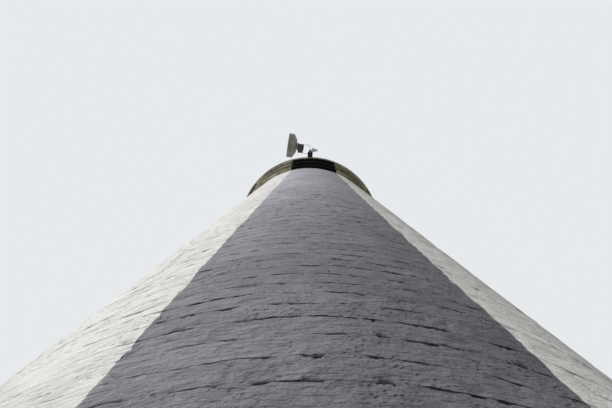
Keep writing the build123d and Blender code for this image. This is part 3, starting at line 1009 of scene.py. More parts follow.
@dataclass(frozen=True)
class CorniceStone(Finish):
    """Lichen-stained stone that is painted black over the dark stripes.

    The paint ends at a radius and a height. In each hollow, below an edge radius and between two heights,
    the stone is darkened with painted shade. Painted shade also darkens it towards +X.
    """

    stone: Colour = (0.33, 0.305, 0.225)
    pale: Colour = (0.50, 0.475, 0.38)
    # Moss colour, also used for painted shade towards +X.
    moss_and_shade: Colour = (0.105, 0.110, 0.050)
    lichen: Colour = (0.36, 0.29, 0.10)
    paint: Colour = (0.0045, 0.0045, 0.0052)
    stain: Colour = (0.07, 0.065, 0.05)
    # Colour of painted shade in the hollows.
    hollow_shade: Colour = (0.04, 0.04, 0.03)
    # Colour of painted shade in open joints.
    joint: Colour = (0.05, 0.048, 0.04)
    painted: bool = True
    paint_reach: float = 9.0
    paint_top: float = 99.0
    # Share of painted shade towards +X.
    painted_side_shade: float = 0.78
    hollows: tuple[Place, ...] = ()

    def dress(self, graph: Graph, shader: Step) -> None:
        """Feed the shader with stone, lichen, stains, painted shade and the black paint.

        Args:
            graph: Graph of the material.
            shader: Its shader.
        """
        weather = self.weather(graph, 2.6, 6.0, 18.0)
        height = graph.group(grain(), Scale=22.0, Pits=0.5)["Height"]
        stone = graph.mix(weather["Patches"], self.stone, self.pale)
        stone = graph.mix(graph.noise(5.5, 4.0, 0.65).spread(0.50, 0.68, 0.0, 0.7), stone, self.moss_and_shade)
        stone = graph.mix(weather["Specks"] * 0.7, stone, self.lichen)
        stone = graph.mix(weather["Runs"] * 0.5, stone, self.stain)
        axes = graph.axes()
        flat = graph.add("ShaderNodeCombineXYZ", {"X": axes["X"], "Y": axes["Y"]})[0]
        reach = graph.add("ShaderNodeVectorMath", {0: flat}, operation="LENGTH")["Value"]
        # Painted shade: the stone darkens towards +X in the moss colour, for the side away from the light.
        side_shade_mask = axes["X"].spread(-1.0, 1.5) * weather["Patches"].spread(0, 1, 1.0, 0.7)
        stone = graph.mix(side_shade_mask * self.painted_side_shade, stone, self.moss_and_shade)
        # Painted shade in each hollow under a nose.
        for edge, low, high in self.hollows:
            within = axes["Z"].spread(low - 0.01, low) * axes["Z"].spread(high, high + 0.01, 1, 0)
            stone = graph.mix(within * reach.spread(edge - 0.01, edge + 0.008, 0.5, 0.0), stone, self.hollow_shade)
        stone = graph.tint(stone, graph.attribute("tone").spread(-0.5, 0.5, 0.80, 1.16))
        # Painted shade: the joint colour darkens the open joints of the frieze blocks.
        stone = graph.mix(graph.attribute("joint"), stone, self.joint)
        if self.painted:
            inside = reach.spread(self.paint_reach - 0.004, self.paint_reach + 0.004, 1.0, 0.0)
            below = axes["Z"].spread(self.paint_top - 0.004, self.paint_top + 0.004, 1.0, 0.0)
            dark = graph.group(stripe_mask(), Wobble=0.006, Softness=0.003)["Dark"] * (inside * below)
            chips = dark * graph.noise(24.0, 4.0, 0.7).spread(0.66, 0.72, 1.0, 0.82)
            stone = graph.mix(chips, stone, self.paint)
            shader["Roughness"] = dark.spread(0, 1, 0.88, 0.62)
            height = height * dark.spread(0, 1, 1.0, 0.55)
        else:
            shader["Roughness"] = height.spread(0.2, 0.8, 0.95, 0.78)
        shader["Base Color"] = stone
        shader["Normal"] = graph.bump(height, 0.008, 0.7)
        shader["Specular IOR Level"] = 0.03


@dataclass(frozen=True)
class PaintedMetal(Finish):
    """Brushed or sprayed paint on metal, with dirt in runs and rust where it has worn through."""

    colour: Colour
    worn: Colour
    rust: float = 0.5
    roughness: float = 0.42
    lumps: float = 60.0
    dirt: Colour = (0.23, 0.14, 0.075)
    bare: Colour = (0.12, 0.05, 0.02)

    def dress(self, graph: Graph, shader: Step) -> None:
        """Feed the shader with paint, dirt and rust.

        Args:
            graph: Graph of the material.
            shader: Its shader.
        """
        weather = self.weather(graph, 3.5, 16.0, 45.0)
        coat = graph.mix(weather["Patches"], self.colour, self.worn)
        coat = graph.mix(weather["Runs"] * (0.35 * self.rust), coat, self.dirt)
        spots = graph.noise(70.0, 4.0, 0.7).spread(0.66, 0.72, 0.0, self.rust)
        shader["Base Color"] = graph.mix(spots, coat, self.bare)
        wear = graph.noise(18.0, 3.0).spread(0.3, 0.7, self.roughness - 0.08, self.roughness + 0.14)
        shader["Roughness"] = graph.math("ADD", wear, spots * 0.4, clamp=True)
        shader["Normal"] = graph.bump(graph.noise(self.lumps, 3.0, 0.6), 0.0015, 0.5)


@dataclass(frozen=True)
class BareMetal(Finish):
    """Dull zinc or steel with faint crystals, grease and water marks."""

    colour: Colour
    dull: Colour
    roughness: float = 0.45
    crystals: float = 55.0
    rust: Colour = (0.09, 0.05, 0.03)

    def dress(self, graph: Graph, shader: Step) -> None:
        """Feed the shader with crystals, marks and a soft grain.

        Args:
            graph: Graph of the material.
            shader: Its shader.
        """
        cell = graph.add("ShaderNodeTexVoronoi", {"Vector": graph.place(), "Scale": self.crystals})
        flake = graph.add("ShaderNodeSeparateColor", {0: cell["Color"]})[0]
        weather = self.weather(graph, 6.0, 22.0, 60.0)
        metal = graph.mix(flake, self.colour, self.dull)
        metal = graph.mix(weather["Patches"] * 0.5, metal, self.dull)
        shader["Base Color"] = graph.mix(weather["Specks"] * 0.5, metal, self.rust)
        shader["Metallic"] = weather["Specks"].spread(0, 1, 0.85, 0.2)
        shader["Roughness"] = flake.spread(0, 1, self.roughness, self.roughness + 0.2)
        shader["Normal"] = graph.bump(graph.noise(120.0, 3.0), 0.0008, 0.4)


@dataclass(frozen=True)
class WeatheredPlastic(Finish):
    """Moulded or sheet plastic, chalked by the sun and streaked with dust."""

    colour: Colour
    chalk: Colour
    weave: bool = False
    dust: Colour = (0.12, 0.11, 0.09)

    def dress(self, graph: Graph, shader: Step) -> None:
        """Feed the shader with chalking, dirt and a moulded or woven grain.

        Args:
            graph: Graph of the material.
            shader: Its shader.
        """
        weather = self.weather(graph, 5.0, 18.0, 50.0)
        skin = graph.mix(weather["Patches"], self.colour, self.chalk)
        shader["Base Color"] = graph.mix(weather["Runs"] * 0.4, skin, self.dust)
        shader["Roughness"] = weather["Patches"].spread(0, 1, 0.5, 0.68)
        if self.weave:
            wave = {"Vector": graph.place(), "Scale": 90.0, "Distortion": 0.4}
            across, up = (graph.add("ShaderNodeTexWave", wave, bands_direction=axis) for axis in "YZ")
            height = across["Fac"] * up["Fac"]
        else:
            height = graph.noise(240.0, 2.0)
        shader["Normal"] = graph.bump(height, 0.0006, 0.5)


@dataclass(frozen=True)
class PaintedTimber(Finish):
    """Boards with their grain showing through worn paint."""

    colour: Colour = (0.030, 0.060, 0.048)
    worn: Colour = (0.075, 0.115, 0.092)
    bare: Colour = (0.19, 0.15, 0.105)

    def dress(self, graph: Graph, shader: Step) -> None:
        """Feed the shader with grain, fading and bare patches.

        Args:
            graph: Graph of the material.
            shader: Its shader.
        """
        fibres = graph.noise(42.0, 5.0, 0.7, (1, 1, 0.05))
        coat = graph.mix(graph.noise(3.0, 3.0).spread(0.35, 0.65), self.colour, self.worn)
        bald = (fibres + graph.noise(9.0, 3.0) * 0.5).spread(0.88, 0.98)
        shader["Base Color"] = graph.mix(bald, coat, self.bare)
        shader["Roughness"] = bald.spread(0, 1, 0.48, 0.85)
        shader["Normal"] = graph.bump(fibres, 0.002, 0.7)


@dataclass(frozen=True)
class ClearGlass(Finish):
    """Clear pane with a film of salt and dust."""

    clean: Colour = (0.90, 0.95, 0.95)
    filmed: Colour = (0.84, 0.90, 0.89)

    def dress(self, graph: Graph, shader: Step) -> None:
        """Feed the shader with a faint film over clear glass.

        Args:
            graph: Graph of the material.
            shader: Its shader.
        """
        shader["Roughness"] = graph.noise(7.0, 4.0, 0.65).spread(0.45, 0.75, 0.015, 0.11)
        shader["Base Color"] = graph.mix(graph.noise(4.0).spread(0.3, 0.7), self.clean, self.filmed)
        shader["Normal"] = graph.bump(graph.noise(2.2, 1.0), 0.0012, 0.3)
        for name, value in {"Transmission Weight": 1.0, "IOR": 1.45, "Metallic": 0.0}.items():
            shader[name] = value


STRING_LOW, STRING_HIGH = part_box("string_course")
CORONA_LOW, CORONA_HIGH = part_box("corona")
DECK_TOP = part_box("gallery_deck")[1].z
DARK_WALL = MasonryPaint("dark_masonry_paint", Slot.DARK_PAINT)
WHITE_WALL = MasonryPaint("white_masonry_paint", Slot.WHITE_PAINT)
CORNICE = CorniceStone(
    "lichen_stone", Slot.CORNICE_STONE,
    hollows=(
        (STRING_HIGH.x - 0.026, STRING_LOW.z, STRING_LOW.z + 0.12),
        (CORONA_HIGH.x - 0.006, CORONA_LOW.z, CORONA_HIGH.z)
    )
)
DECK_STONE = CorniceStone(
    "deck_stone", Slot.CORNICE_STONE, stone=(0.36, 0.345, 0.29), pale=(0.55, 0.53, 0.47),
    moss_and_shade=(0.20, 0.195, 0.13), lichen=(0.45, 0.40, 0.24),
    paint_reach=node_radius("gallery_deck", DECK_TOP) - 0.045, paint_top=DECK_TOP - 0.06
)
BASE_STONE = CorniceStone(
    "plinth_stone", Slot.BASE_STONE, stone=(0.27, 0.26, 0.225), pale=(0.38, 0.365, 0.32),
    moss_and_shade=(0.15, 0.15, 0.10), lichen=(0.34, 0.32, 0.22), painted=False
)
MORTAR = CorniceStone(
    "lime_mortar", Slot.CORNICE_STONE, stone=(0.17, 0.16, 0.13), pale=(0.26, 0.25, 0.21),
    moss_and_shade=(0.09, 0.09, 0.06)
)
WHITE_IRON = PaintedMetal(
    "white_painted_iron", Slot.RAILING_IRON, (0.78, 0.78, 0.76), (0.62, 0.62, 0.585), rust=0.7
)
LANTERN_WHITE = PaintedMetal(
    "lantern_white_iron", Slot.LANTERN_IRON, (0.80, 0.80, 0.775), (0.66, 0.66, 0.63), rust=0.4, lumps=30.0
)
ROOF_BLACK = PaintedMetal(
    "roof_black_metal", Slot.ROOF_METAL, (0.020, 0.021, 0.024), (0.055, 0.056, 0.060), rust=0.15,
    roughness=0.36
)
# Painted shade: the dish's white coat is set to a mid grey, as it looks in shade.
DISH_WHITE = PaintedMetal(
    "dish_coat_with_painted_shade", Slot.DISH_WHITE, (0.29, 0.29, 0.27), (0.175, 0.175, 0.155), rust=0.12, roughness=0.4,
    lumps=140.0
)
RADIO_GREY = PaintedMetal(
    "radio_dark_coat", Slot.RADIO_GREY, (0.045, 0.047, 0.052), (0.085, 0.085, 0.088), rust=0.1,
    roughness=0.45, lumps=260.0
)
DOOR_IRON = PaintedMetal(
    "door_black_iron", Slot.TIMBER, (0.018, 0.018, 0.019), (0.045, 0.042, 0.040), rust=0.8, roughness=0.5
)
ZINC = BareMetal("dull_zinc", Slot.GALVANISED_STEEL, (0.30, 0.31, 0.33), (0.17, 0.175, 0.18))
DARK_STEEL = BareMetal(
    "dark_steel", Slot.GALVANISED_STEEL, (0.10, 0.10, 0.105), (0.055, 0.055, 0.058), roughness=0.6
)
ROD_COPPER = BareMetal("rod_copper", Slot.ROD_METAL, (0.35, 0.30, 0.24), (0.12, 0.17, 0.14), roughness=0.5)
RADOME_SHEET = WeatheredPlastic(
    "radome_sheet", Slot.RADOME, (0.42, 0.41, 0.37), (0.52, 0.51, 0.47), weave=True
)
ANTENNA_SHELL = WeatheredPlastic(
    "antenna_shell", Slot.ANTENNA_PLASTIC, (0.50, 0.48, 0.47), (0.62, 0.60, 0.58)
)
DOOR_TIMBER = PaintedTimber("door_timber", Slot.TIMBER)
CLEAR_GLASS = ClearGlass("lantern_glass_clear", Slot.GLASS)


# Sub-assemblies


def rounded(centre: tuple[float, float], radius: float, first: float, last: float, steps: int) -> Profile:
    """Points of an arc in a profile, between two angles in degrees that are counted from outwards."""
    turns = np.radians(np.linspace(first, last, steps + 1))
    return [(centre[0] + radius * math.cos(turn), centre[1] + radius * math.sin(turn)) for turn in turns]


def ring_of_stones(name: str, profile: Profile, stones: int, gap: float, edge: float, seed: int) -> Piece:
    """Spin a profile into a stone, and lay a ring of them with gaps from beside the front stripe."""
    stone = bevel(spin_profile("stone", profile, 2 * math.pi / stones - gap, steps=4), edge)
    return repeat(name, stone, turns_round(stones, -math.pi / 2 + STRIPE_TURN / 2 + gap / 2), seed)


@dataclass
class Shaft:
    """Tapering wall of painted blocks, one piece for each share of a stripe."""

    courses: int = 95
    near_courses: int = 22
    jamb_share: float = 0.4

    def __post_init__(self) -> None:
        """Take the sizes from the front stripe's CAD node."""
        low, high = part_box("wall_dark_1")
        self.bottom, self.top = low.z, high.z
        ends = (node_radius("wall_dark_1", level) for level in (low.z, high.z))
        self.coursing = Coursing(low.z, high.z, self.courses, *ends)

    def build(self) -> None:
        """Build all the stripes, the door's one at the back."""
        for index in range(STRIPE_COUNT):
            kind, finish = (("dark", DARK_WALL), ("white", WHITE_WALL))[index % 2]
            name = f"wall_{kind}_{index // 2 + 1}"
            stripe = self.door_stripe if index == STRIPE_COUNT // 2 else self.stripe
            stripe(name, stripe_sides(index), finish)

    def wedge(self, name: str, sides: Sides, low: float, high: float, *fineness: Fineness | float) -> Piece:
        """Build one share of the wall between two sides and two heights."""
        inner = bore_radius("wall_dark_1")
        return WallWedge(name, self.coursing, inner, low, high, *sides, *fineness).build()

    def stripe(self, name: str, sides: Sides, finish: Finish) -> None:
        """Build a whole stripe, more finely the nearer it is to the front.

        Args:
            name: Name of its CAD node.
            sides: Its left and right sides.
            finish: Finish of the wall.
        """
        split = float(self.coursing.beds[self.near_courses])
        low, high = {
            "wall_dark_1": (Fineness.NEAR, Fineness.MIDDLE),
            "wall_white_1": (Fineness.MIDDLE, Fineness.FAR), "wall_white_5": (Fineness.MIDDLE, Fineness.FAR)
        }.get(name, (Fineness.FAR, Fineness.FAR))
        lower = self.wedge(f"{name}_low", sides, self.bottom, split, low)
        upper = self.wedge(f"{name}_high", sides, split, self.top, high)
        finish_piece(join(f"{name}_blocks", lower, upper), finish, name)

    def door_stripe(self, name: str, sides: Sides, finish: Finish) -> None:
        """Build the stripe that the doorway is cut through.

        Args:
            name: Name that its CAD nodes start with.
            sides: Its left and right sides.
            finish: Finish of the wall.
        """
        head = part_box(f"{name}_left_of_door")[1].z
        low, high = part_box("door_lintel")
        opening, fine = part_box("door_frame")[1].x, (Fineness.MIDDLE, self.jamb_share)

        def beside(side: str, reach: float) -> Sides:
            """Sides of the wall that ends at a distance from the middle of the doorway."""
            return {
                "right": (sides[0], WallSide(math.pi, reach)), "left": (WallSide(math.pi, -reach), sides[1])
            }[side]

        for side in ("right", "left"):
            jamb = self.wedge(f"{name}_{side}_jamb", beside(side, opening), self.bottom, head, *fine)
            finish_piece(jamb, finish, f"{name}_{side}_of_door")
        parts = [
            self.wedge(f"{name}_beside_{side}", beside(side, high.x), low.z, high.z, *fine)
            for side in ("right", "left")
        ]
        main = self.wedge(f"{name}_main", sides, high.z, self.top, Fineness.FAR)
        finish_piece(join(f"{name}_over_door_blocks", main, *parts), finish, f"{name}_over_door")


@dataclass
class Base:
    """Base slab and the plinth's dressed stones on it."""

    stones: int = 30
    gap: float = 0.006
    edge: float = 0.014
    slab_edge: float = 0.02
    splay_share: float = 0.2
    setback: float = 0.004
    beside: float = 1.6

    def build(self) -> None:
        """Build the slab and the stones, those beside the doorway cut off at the opening."""
        dress_nodes("stone", BASE_STONE, 3, base_slab=self.slab_edge)
        low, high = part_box("plinth_course")
        foot, inner = node_radius("wall_dark_1", high.z), bore_radius("plinth_course")
        splay = high.z - (high.z - low.z) * self.splay_share
        profile = [(inner, low.z), (high.x, low.z), (high.x, splay)]
        profile += [(foot - self.setback, high.z), (inner, high.z)]
        sweep = 2 * math.pi / self.stones
        stone = spin_profile("stone", profile, sweep - self.gap / foot, steps=3)
        clear, beside = [], []
        for turn in turns_round(self.stones):
            start = turn.to_euler().z % (2 * math.pi)
            near = abs(start + sweep / 2 - math.pi / 2) < self.beside * sweep
            (beside if near else clear).append(turn)
        cut = [self.cut_stone(stone, turn) for turn in beside]
        plain = repeat("plain_stones", bevel(stone, self.edge, 3), clear, seed=8)
        ring = join("plinth_stones", plain, *filter(None, cut))
        finish_piece(ring, BASE_STONE, "plinth_course")

    def cut_stone(self, stone: Piece, turn: Matrix) -> Piece | None:
        """Copy a stone beside the doorway and cut it off at the opening.

        Args:
            stone: Stone to copy, before its edges are rounded.
            turn: Its turn into place.

        Returns:
            The cut stone, or None where nothing of it is left.
        """
        mesh = stone.data.copy()
        mesh.transform(turn)
        piece = add_mesh("cut_stone", mesh)
        side = 1 if sum(vertex.co.x for vertex in mesh.vertices) > 0 else -1
        opening = (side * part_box("door_frame")[1].x, 0, 0)
        with Editing(piece):
            bpy.ops.mesh.bisect(plane_co=opening, plane_no=(side, 0, 0), use_fill=True, clear_inner=True)
        if len(mesh.vertices) < 4:
            bpy.data.objects.remove(piece)
            return None
        mark(mesh, "tone", np.full(len(mesh.vertices), 0.1 * side))
        return bevel(piece, self.edge, 3)


@dataclass
class Doorway:
    """Lintel, frame and boarded leaf with its ironwork."""

    strap_heights: Place = (0.28, 1.02, 1.76)
    strap_height: float = 0.055
    strap_thickness: float = 0.008
    strap_share: float = 0.86
    strap_point: float = 0.04
    knuckle_radius: float = 0.014
    nails: int = 5
    nail_radius: float = 0.011
    nail_inset: float = 0.06
    lock_height: float = 1.05
    lock_inset: float = 0.085
    plate_size: Place = (0.075, 0.008, 0.19)
    boss_radius: float = 0.018
    boss_rise: float = 0.04
    ring_radius: float = 0.06
    ring_thickness: float = 0.015

    def __post_init__(self) -> None:
        """Take the leaf's corners from the CAD model."""
        self.low, self.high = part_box("door_leaf")

    def build(self) -> None:
        """Build the doorway's pieces, and the iron on the leaf's outer face."""
        dress_nodes("stone", BASE_STONE, 3, door_lintel=0.012)
        dress_nodes("boards", DOOR_TIMBER, door_frame=0.006, door_leaf=0.003)
        parts = [part for height in self.strap_heights for part in self.strap(self.low.z + height)]
        finish_piece(join("door_ironwork", *parts, *self.lock()), DOOR_IRON)

    def lock(self) -> list[Piece]:
        """Build the lock's plate with its boss and pull ring.

        Returns:
            The lock's parts.
        """
        x, face, level = self.low.x + self.lock_inset, self.high.y, self.low.z + self.lock_height
        boss = level + self.boss_rise
        ring = add_primitive(
            bpy.ops.mesh.primitive_torus_add, "ring", location=(x, face + 0.028, boss - self.ring_radius),
            rotation=Along.Y.value, major_radius=self.ring_radius, minor_radius=self.ring_thickness / 2,
            major_segments=36, minor_segments=10
        )
        return [
            add_block("plate", self.plate_size, (x, face + self.plate_size[1] / 2, level), 0.003),
            add_round("boss", self.boss_radius, 0.03, (x, face + 0.016, boss), 0.005, Along.Y), smooth(ring)
        ]

    def strap(self, level: float) -> list[Piece]:
        """Build a pointed strap hinge with its knuckle and nails.

        Args:
            level: Height of the strap's middle.

        Returns:
            The hinge's parts.
        """
        low, high = self.low, self.high
        length, face, thick = (high.x - low.x) * self.strap_share, high.y, self.strap_thickness
        middle = (high.x - length / 2, face + thick / 2, level)
        strap = add_block("strap", (length, thick, self.strap_height), middle)
        with Editing(strap) as editing:
            editing.pick("faces", lambda part: part.normal.x < -0.9)
            bpy.ops.mesh.extrude_region_move(TRANSFORM_OT_translate={"value": (-self.strap_point, 0, 0)})
            bpy.ops.transform.resize(value=(1, 1, 0.15), center_override=(low.x, face, level))
        knuckle = (high.x - 0.006, face + 0.012, level)
        parts = [
            bevel(strap, 0.0025),
            add_round("knuckle", self.knuckle_radius, self.strap_height * 1.3, knuckle, 0.002)
        ]
        for step in range(self.nails):
            place = (high.x - self.nail_inset - step * length / (self.nails + 0.4), face + thick, level)
            parts.append(add_round("nail", self.nail_radius, 0.012, place, 0.004, Along.Y, 10))
        return parts


@dataclass
class Cornice:
    """Moulded and plain courses between the shaft and the gallery, laid as separate stones."""

    stones: int = 30
    gap: float = 0.005
    edge: float = 0.008
    bedding: float = 0.012
    fillet_share: float = 0.42
    fillet_height: float = 0.030
    cap_height: float = 0.022
    weathering: float = 0.012
    cove_foot: float = 0.024
    cove_start: float = 0.035
    cove_lip: float = 0.030
    face_height: float = 0.115
    frieze_courses: int = 4
    frieze_block: float = 0.44

    def build(self) -> None:
        """Build each course from the box of its CAD node."""
        self.moulding("neck_course", "lower_frieze", "wall_dark_1")
        self.frieze("lower_frieze", 31)
        self.moulding("string_course", "upper_frieze", "lower_frieze")
        self.frieze("upper_frieze", 47)
        self.corona()

    def moulding(self, node: str, above: str, below: str) -> None:
        """Build a course with a fillet, a round nose and a splayed top.

        Args:
            node: CAD node of the course.
            above: Node that stands on it.
            below: Node that carries it.
        """
        low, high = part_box(node)
        bed = node_radius(below, low.z)
        nose = (high.x - bed) * (1 - self.fillet_share)
        step, spring = bed + (high.x - bed) * self.fillet_share, low.z + self.fillet_height
        crown = spring + 2 * nose + self.cap_height
        profile = [(bore_radius(node), low.z), (step, low.z), (step, spring)]
        profile += rounded((step, spring + nose), nose, -90, 90, 8)
        profile += [(step, crown), (step - self.weathering, crown), (node_radius(above, high.z), high.z)]
        self.lay(node, profile + [(bore_radius(node), high.z)])

    def corona(self) -> None:
        """Build the hollow course that spreads out under the deck."""
        low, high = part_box("corona")
        bed, bore = node_radius("corona", low.z), bore_radius("corona")
        foot, start = bed + self.cove_foot, low.z + self.cove_start
        across, head = high.x - bed - self.cove_lip, high.z - self.face_height
        profile = [(bore, low.z), (foot, low.z), (foot, start)]
        profile += [
            (bed + 0.012 + across * (1 - math.cos(turn)), start + (head - start) * math.sin(turn))
            for turn in np.linspace(0.0, math.pi / 2, 9)
        ]
        self.lay("corona", profile + [(high.x, head + 0.012), (high.x, high.z), (bore, high.z)])

    def lay(self, node: str, profile: Profile) -> None:
        """Cut a profile into stones, and fill the joints behind their faces with mortar.

        Args:
            node: CAD node that the course replaces.
            profile: Corners of the course as (radius, height).
        """
        low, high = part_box(node)
        gap = self.gap / high.x
        ring = ring_of_stones(f"{node}_stones", profile, self.stones, gap, self.edge, len(node))
        finish_piece(ring, CORNICE, node)
        bore = profile[0][0]
        back = [(max(radius - self.bedding, bore), height) for radius, height in profile[1:-1]]
        packed = [(bore + 0.01, low.z + 0.002), *back, (bore + 0.01, high.z - 0.002)]
        finish_piece(smooth(spin_profile(f"{node}_mortar", packed, steps=STRIPE_COUNT * 8)), MORTAR)

    def frieze(self, node: str, seed: int) -> None:
        """Build a plain drum of coursed stone in low relief.

        Args:
            node: CAD node of the drum.
            seed: Start of its setting out.
        """
        low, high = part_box(node)
        face = node_radius(node, low.z)
        coursing = Coursing(
            low.z, high.z, self.frieze_courses, face, face, block_length=self.frieze_block, seed=seed,
            bed_wave=0.002, joint_depth=0.006, slit_depth=0.010, slit_share=0.14, perpend_depth=0.005,
            block_step=0.002, swell=0.5
        )
        parts = [
            WallWedge(
                f"{node}_{index}", coursing, bore_radius(node), low.z, high.z, *stripe_sides(index),
                Fineness.DRUM
            ).build()
            for index in range(STRIPE_COUNT)
        ]
        finish_piece(join(f"{node}_blocks", *parts), CORNICE, node)


@dataclass
class Gallery:
    """Stone deck with its hatch, and the iron railing round it."""

    slabs: int = 30
    gap: float = 0.006
    nose: float = 0.030
    throat: float = 0.035
    floor_radius: float = 1.30
    rim_width: float = 0.06
    rim_height: float = 0.012
    rail_edge: float = 0.0025
    bolt_radius: float = 0.0095
    bolt_place: float = 0.042
    post_inset: float = 0.06
    collar_length: float = 0.075
    neck_radius: float = 0.030

    def build(self) -> None:
        """Build the deck and the railing."""
        self.deck()
        rail = self.rail_edge
        dress_nodes("painted", WHITE_IRON, railing_posts=0.004, handrail=0.0)
        dress_nodes("painted", WHITE_IRON, lower_guard_rail=rail, upper_guard_rail=rail)
        self.fittings()

    def deck(self) -> None:
        """Build the slabs, and the floor inside the lantern with its hatch cut out."""
        low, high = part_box("gallery_deck")
        edge, inner, nose = high.x, self.floor_radius, self.nose
        throat = edge - self.throat
        profile = [(inner, low.z), (throat, low.z), (throat, low.z + 0.012)]
        profile += [(edge - 0.012, low.z + 0.03), (edge, low.z + 0.045)]
        profile += rounded((edge - nose, high.z - nose), nose, 0, 90, 5) + [(inner, high.z)]
        ring = ring_of_stones("deck_slabs", profile, self.slabs, self.gap / edge, 0.005, 21)
        floor = add_round("floor", inner - 0.003, high.z - low.z, (0, 0, (low.z + high.z) / 2), sides=96)
        places = node_places("gallery_deck")
        hatch = places[np.hypot(places[:, 0], places[:, 1]) < inner]
        near, far = hatch.min(axis=0), hatch.max(axis=0)
        size = far - near
        cutter = add_block("cutter", (size[0], size[1], 1.0), (near + far) / 2)
        activate(floor)
        modifier = floor.modifiers.new("hatch", "BOOLEAN")
        modifier.object, modifier.solver = cutter, "EXACT"
        bpy.ops.object.modifier_apply(modifier=modifier.name)
        bpy.data.objects.remove(cutter)
        finish_piece(join("gallery_deck_stone", ring, bevel(floor, 0.004)), DECK_STONE, "gallery_deck")
        self.hatch_rim(near, far, high.z + self.rim_height / 2)

    def hatch_rim(self, near: Array, far: Array, level: float) -> None:
        """Build the flat iron rim round the hatch.

        Args:
            near: Lowest corner of the hatch.
            far: Highest corner of the hatch.
            level: Height of the rim's middle.
        """
        wide, tall = self.rim_width, self.rim_height
        (x, y, _), (width, depth, _) = (near + far) / 2, far - near
        bars = []
        for side in (-1, 1):
            lengthways, crossways = y + side * (depth + wide) / 2, x + side * (width + wide) / 2
            bars.append(add_block("bar", (width + 2 * wide, wide, tall), (x, lengthways, level)))
            bars.append(add_block("bar", (wide, depth, tall), (crossways, y, level)))
        finish_piece(bevel(join("hatch_rim", *bars), 0.003), DOOR_IRON, slot=Slot.LANTERN_IRON)

    def fittings(self) -> None:
        """Build the bolts at the posts' feet, and the collars where the handrail meets the posts."""
        foot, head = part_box("railing_posts")
        low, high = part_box("handrail")
        rail_level, rail_radius = (low.z + high.z) / 2, (high.z - low.z) / 2
        circle, offsets = head.x - self.post_inset, (-self.bolt_place, self.bolt_place)
        parts = []
        for across, along in product(offsets, offsets):
            washer, nut = ((circle + across, along, foot.z + rise) for rise in (0.0155, 0.022))
            parts.append(add_round("washer", self.bolt_radius * 1.6, 0.003, washer, sides=12))
            parts.append(bevel(add_round("head", self.bolt_radius, 0.011, nut, sides=6), 0.0015, 1))
        collar = add_round(
            "collar", rail_radius + 0.0055, self.collar_length, (circle, 0, rail_level), 0, Along.Y, 20
        )
        with Editing(collar) as editing:
            editing.pick("edges", lambda part: abs(part.verts[0].co.y - part.verts[1].co.y) < 1e-5)
            bpy.ops.mesh.bevel(offset=0.003, segments=2)
        place = (circle, 0, rail_level - rail_radius - 0.012)
        neck = add_round("neck", self.neck_radius, 0.05, place, 0.006, sides=16)
        fitting = join("fitting", *parts, smooth(collar), neck)
        finish_piece(repeat("railing_fittings", fitting, turns_round(2 * STRIPE_COUNT), 4), WHITE_IRON)


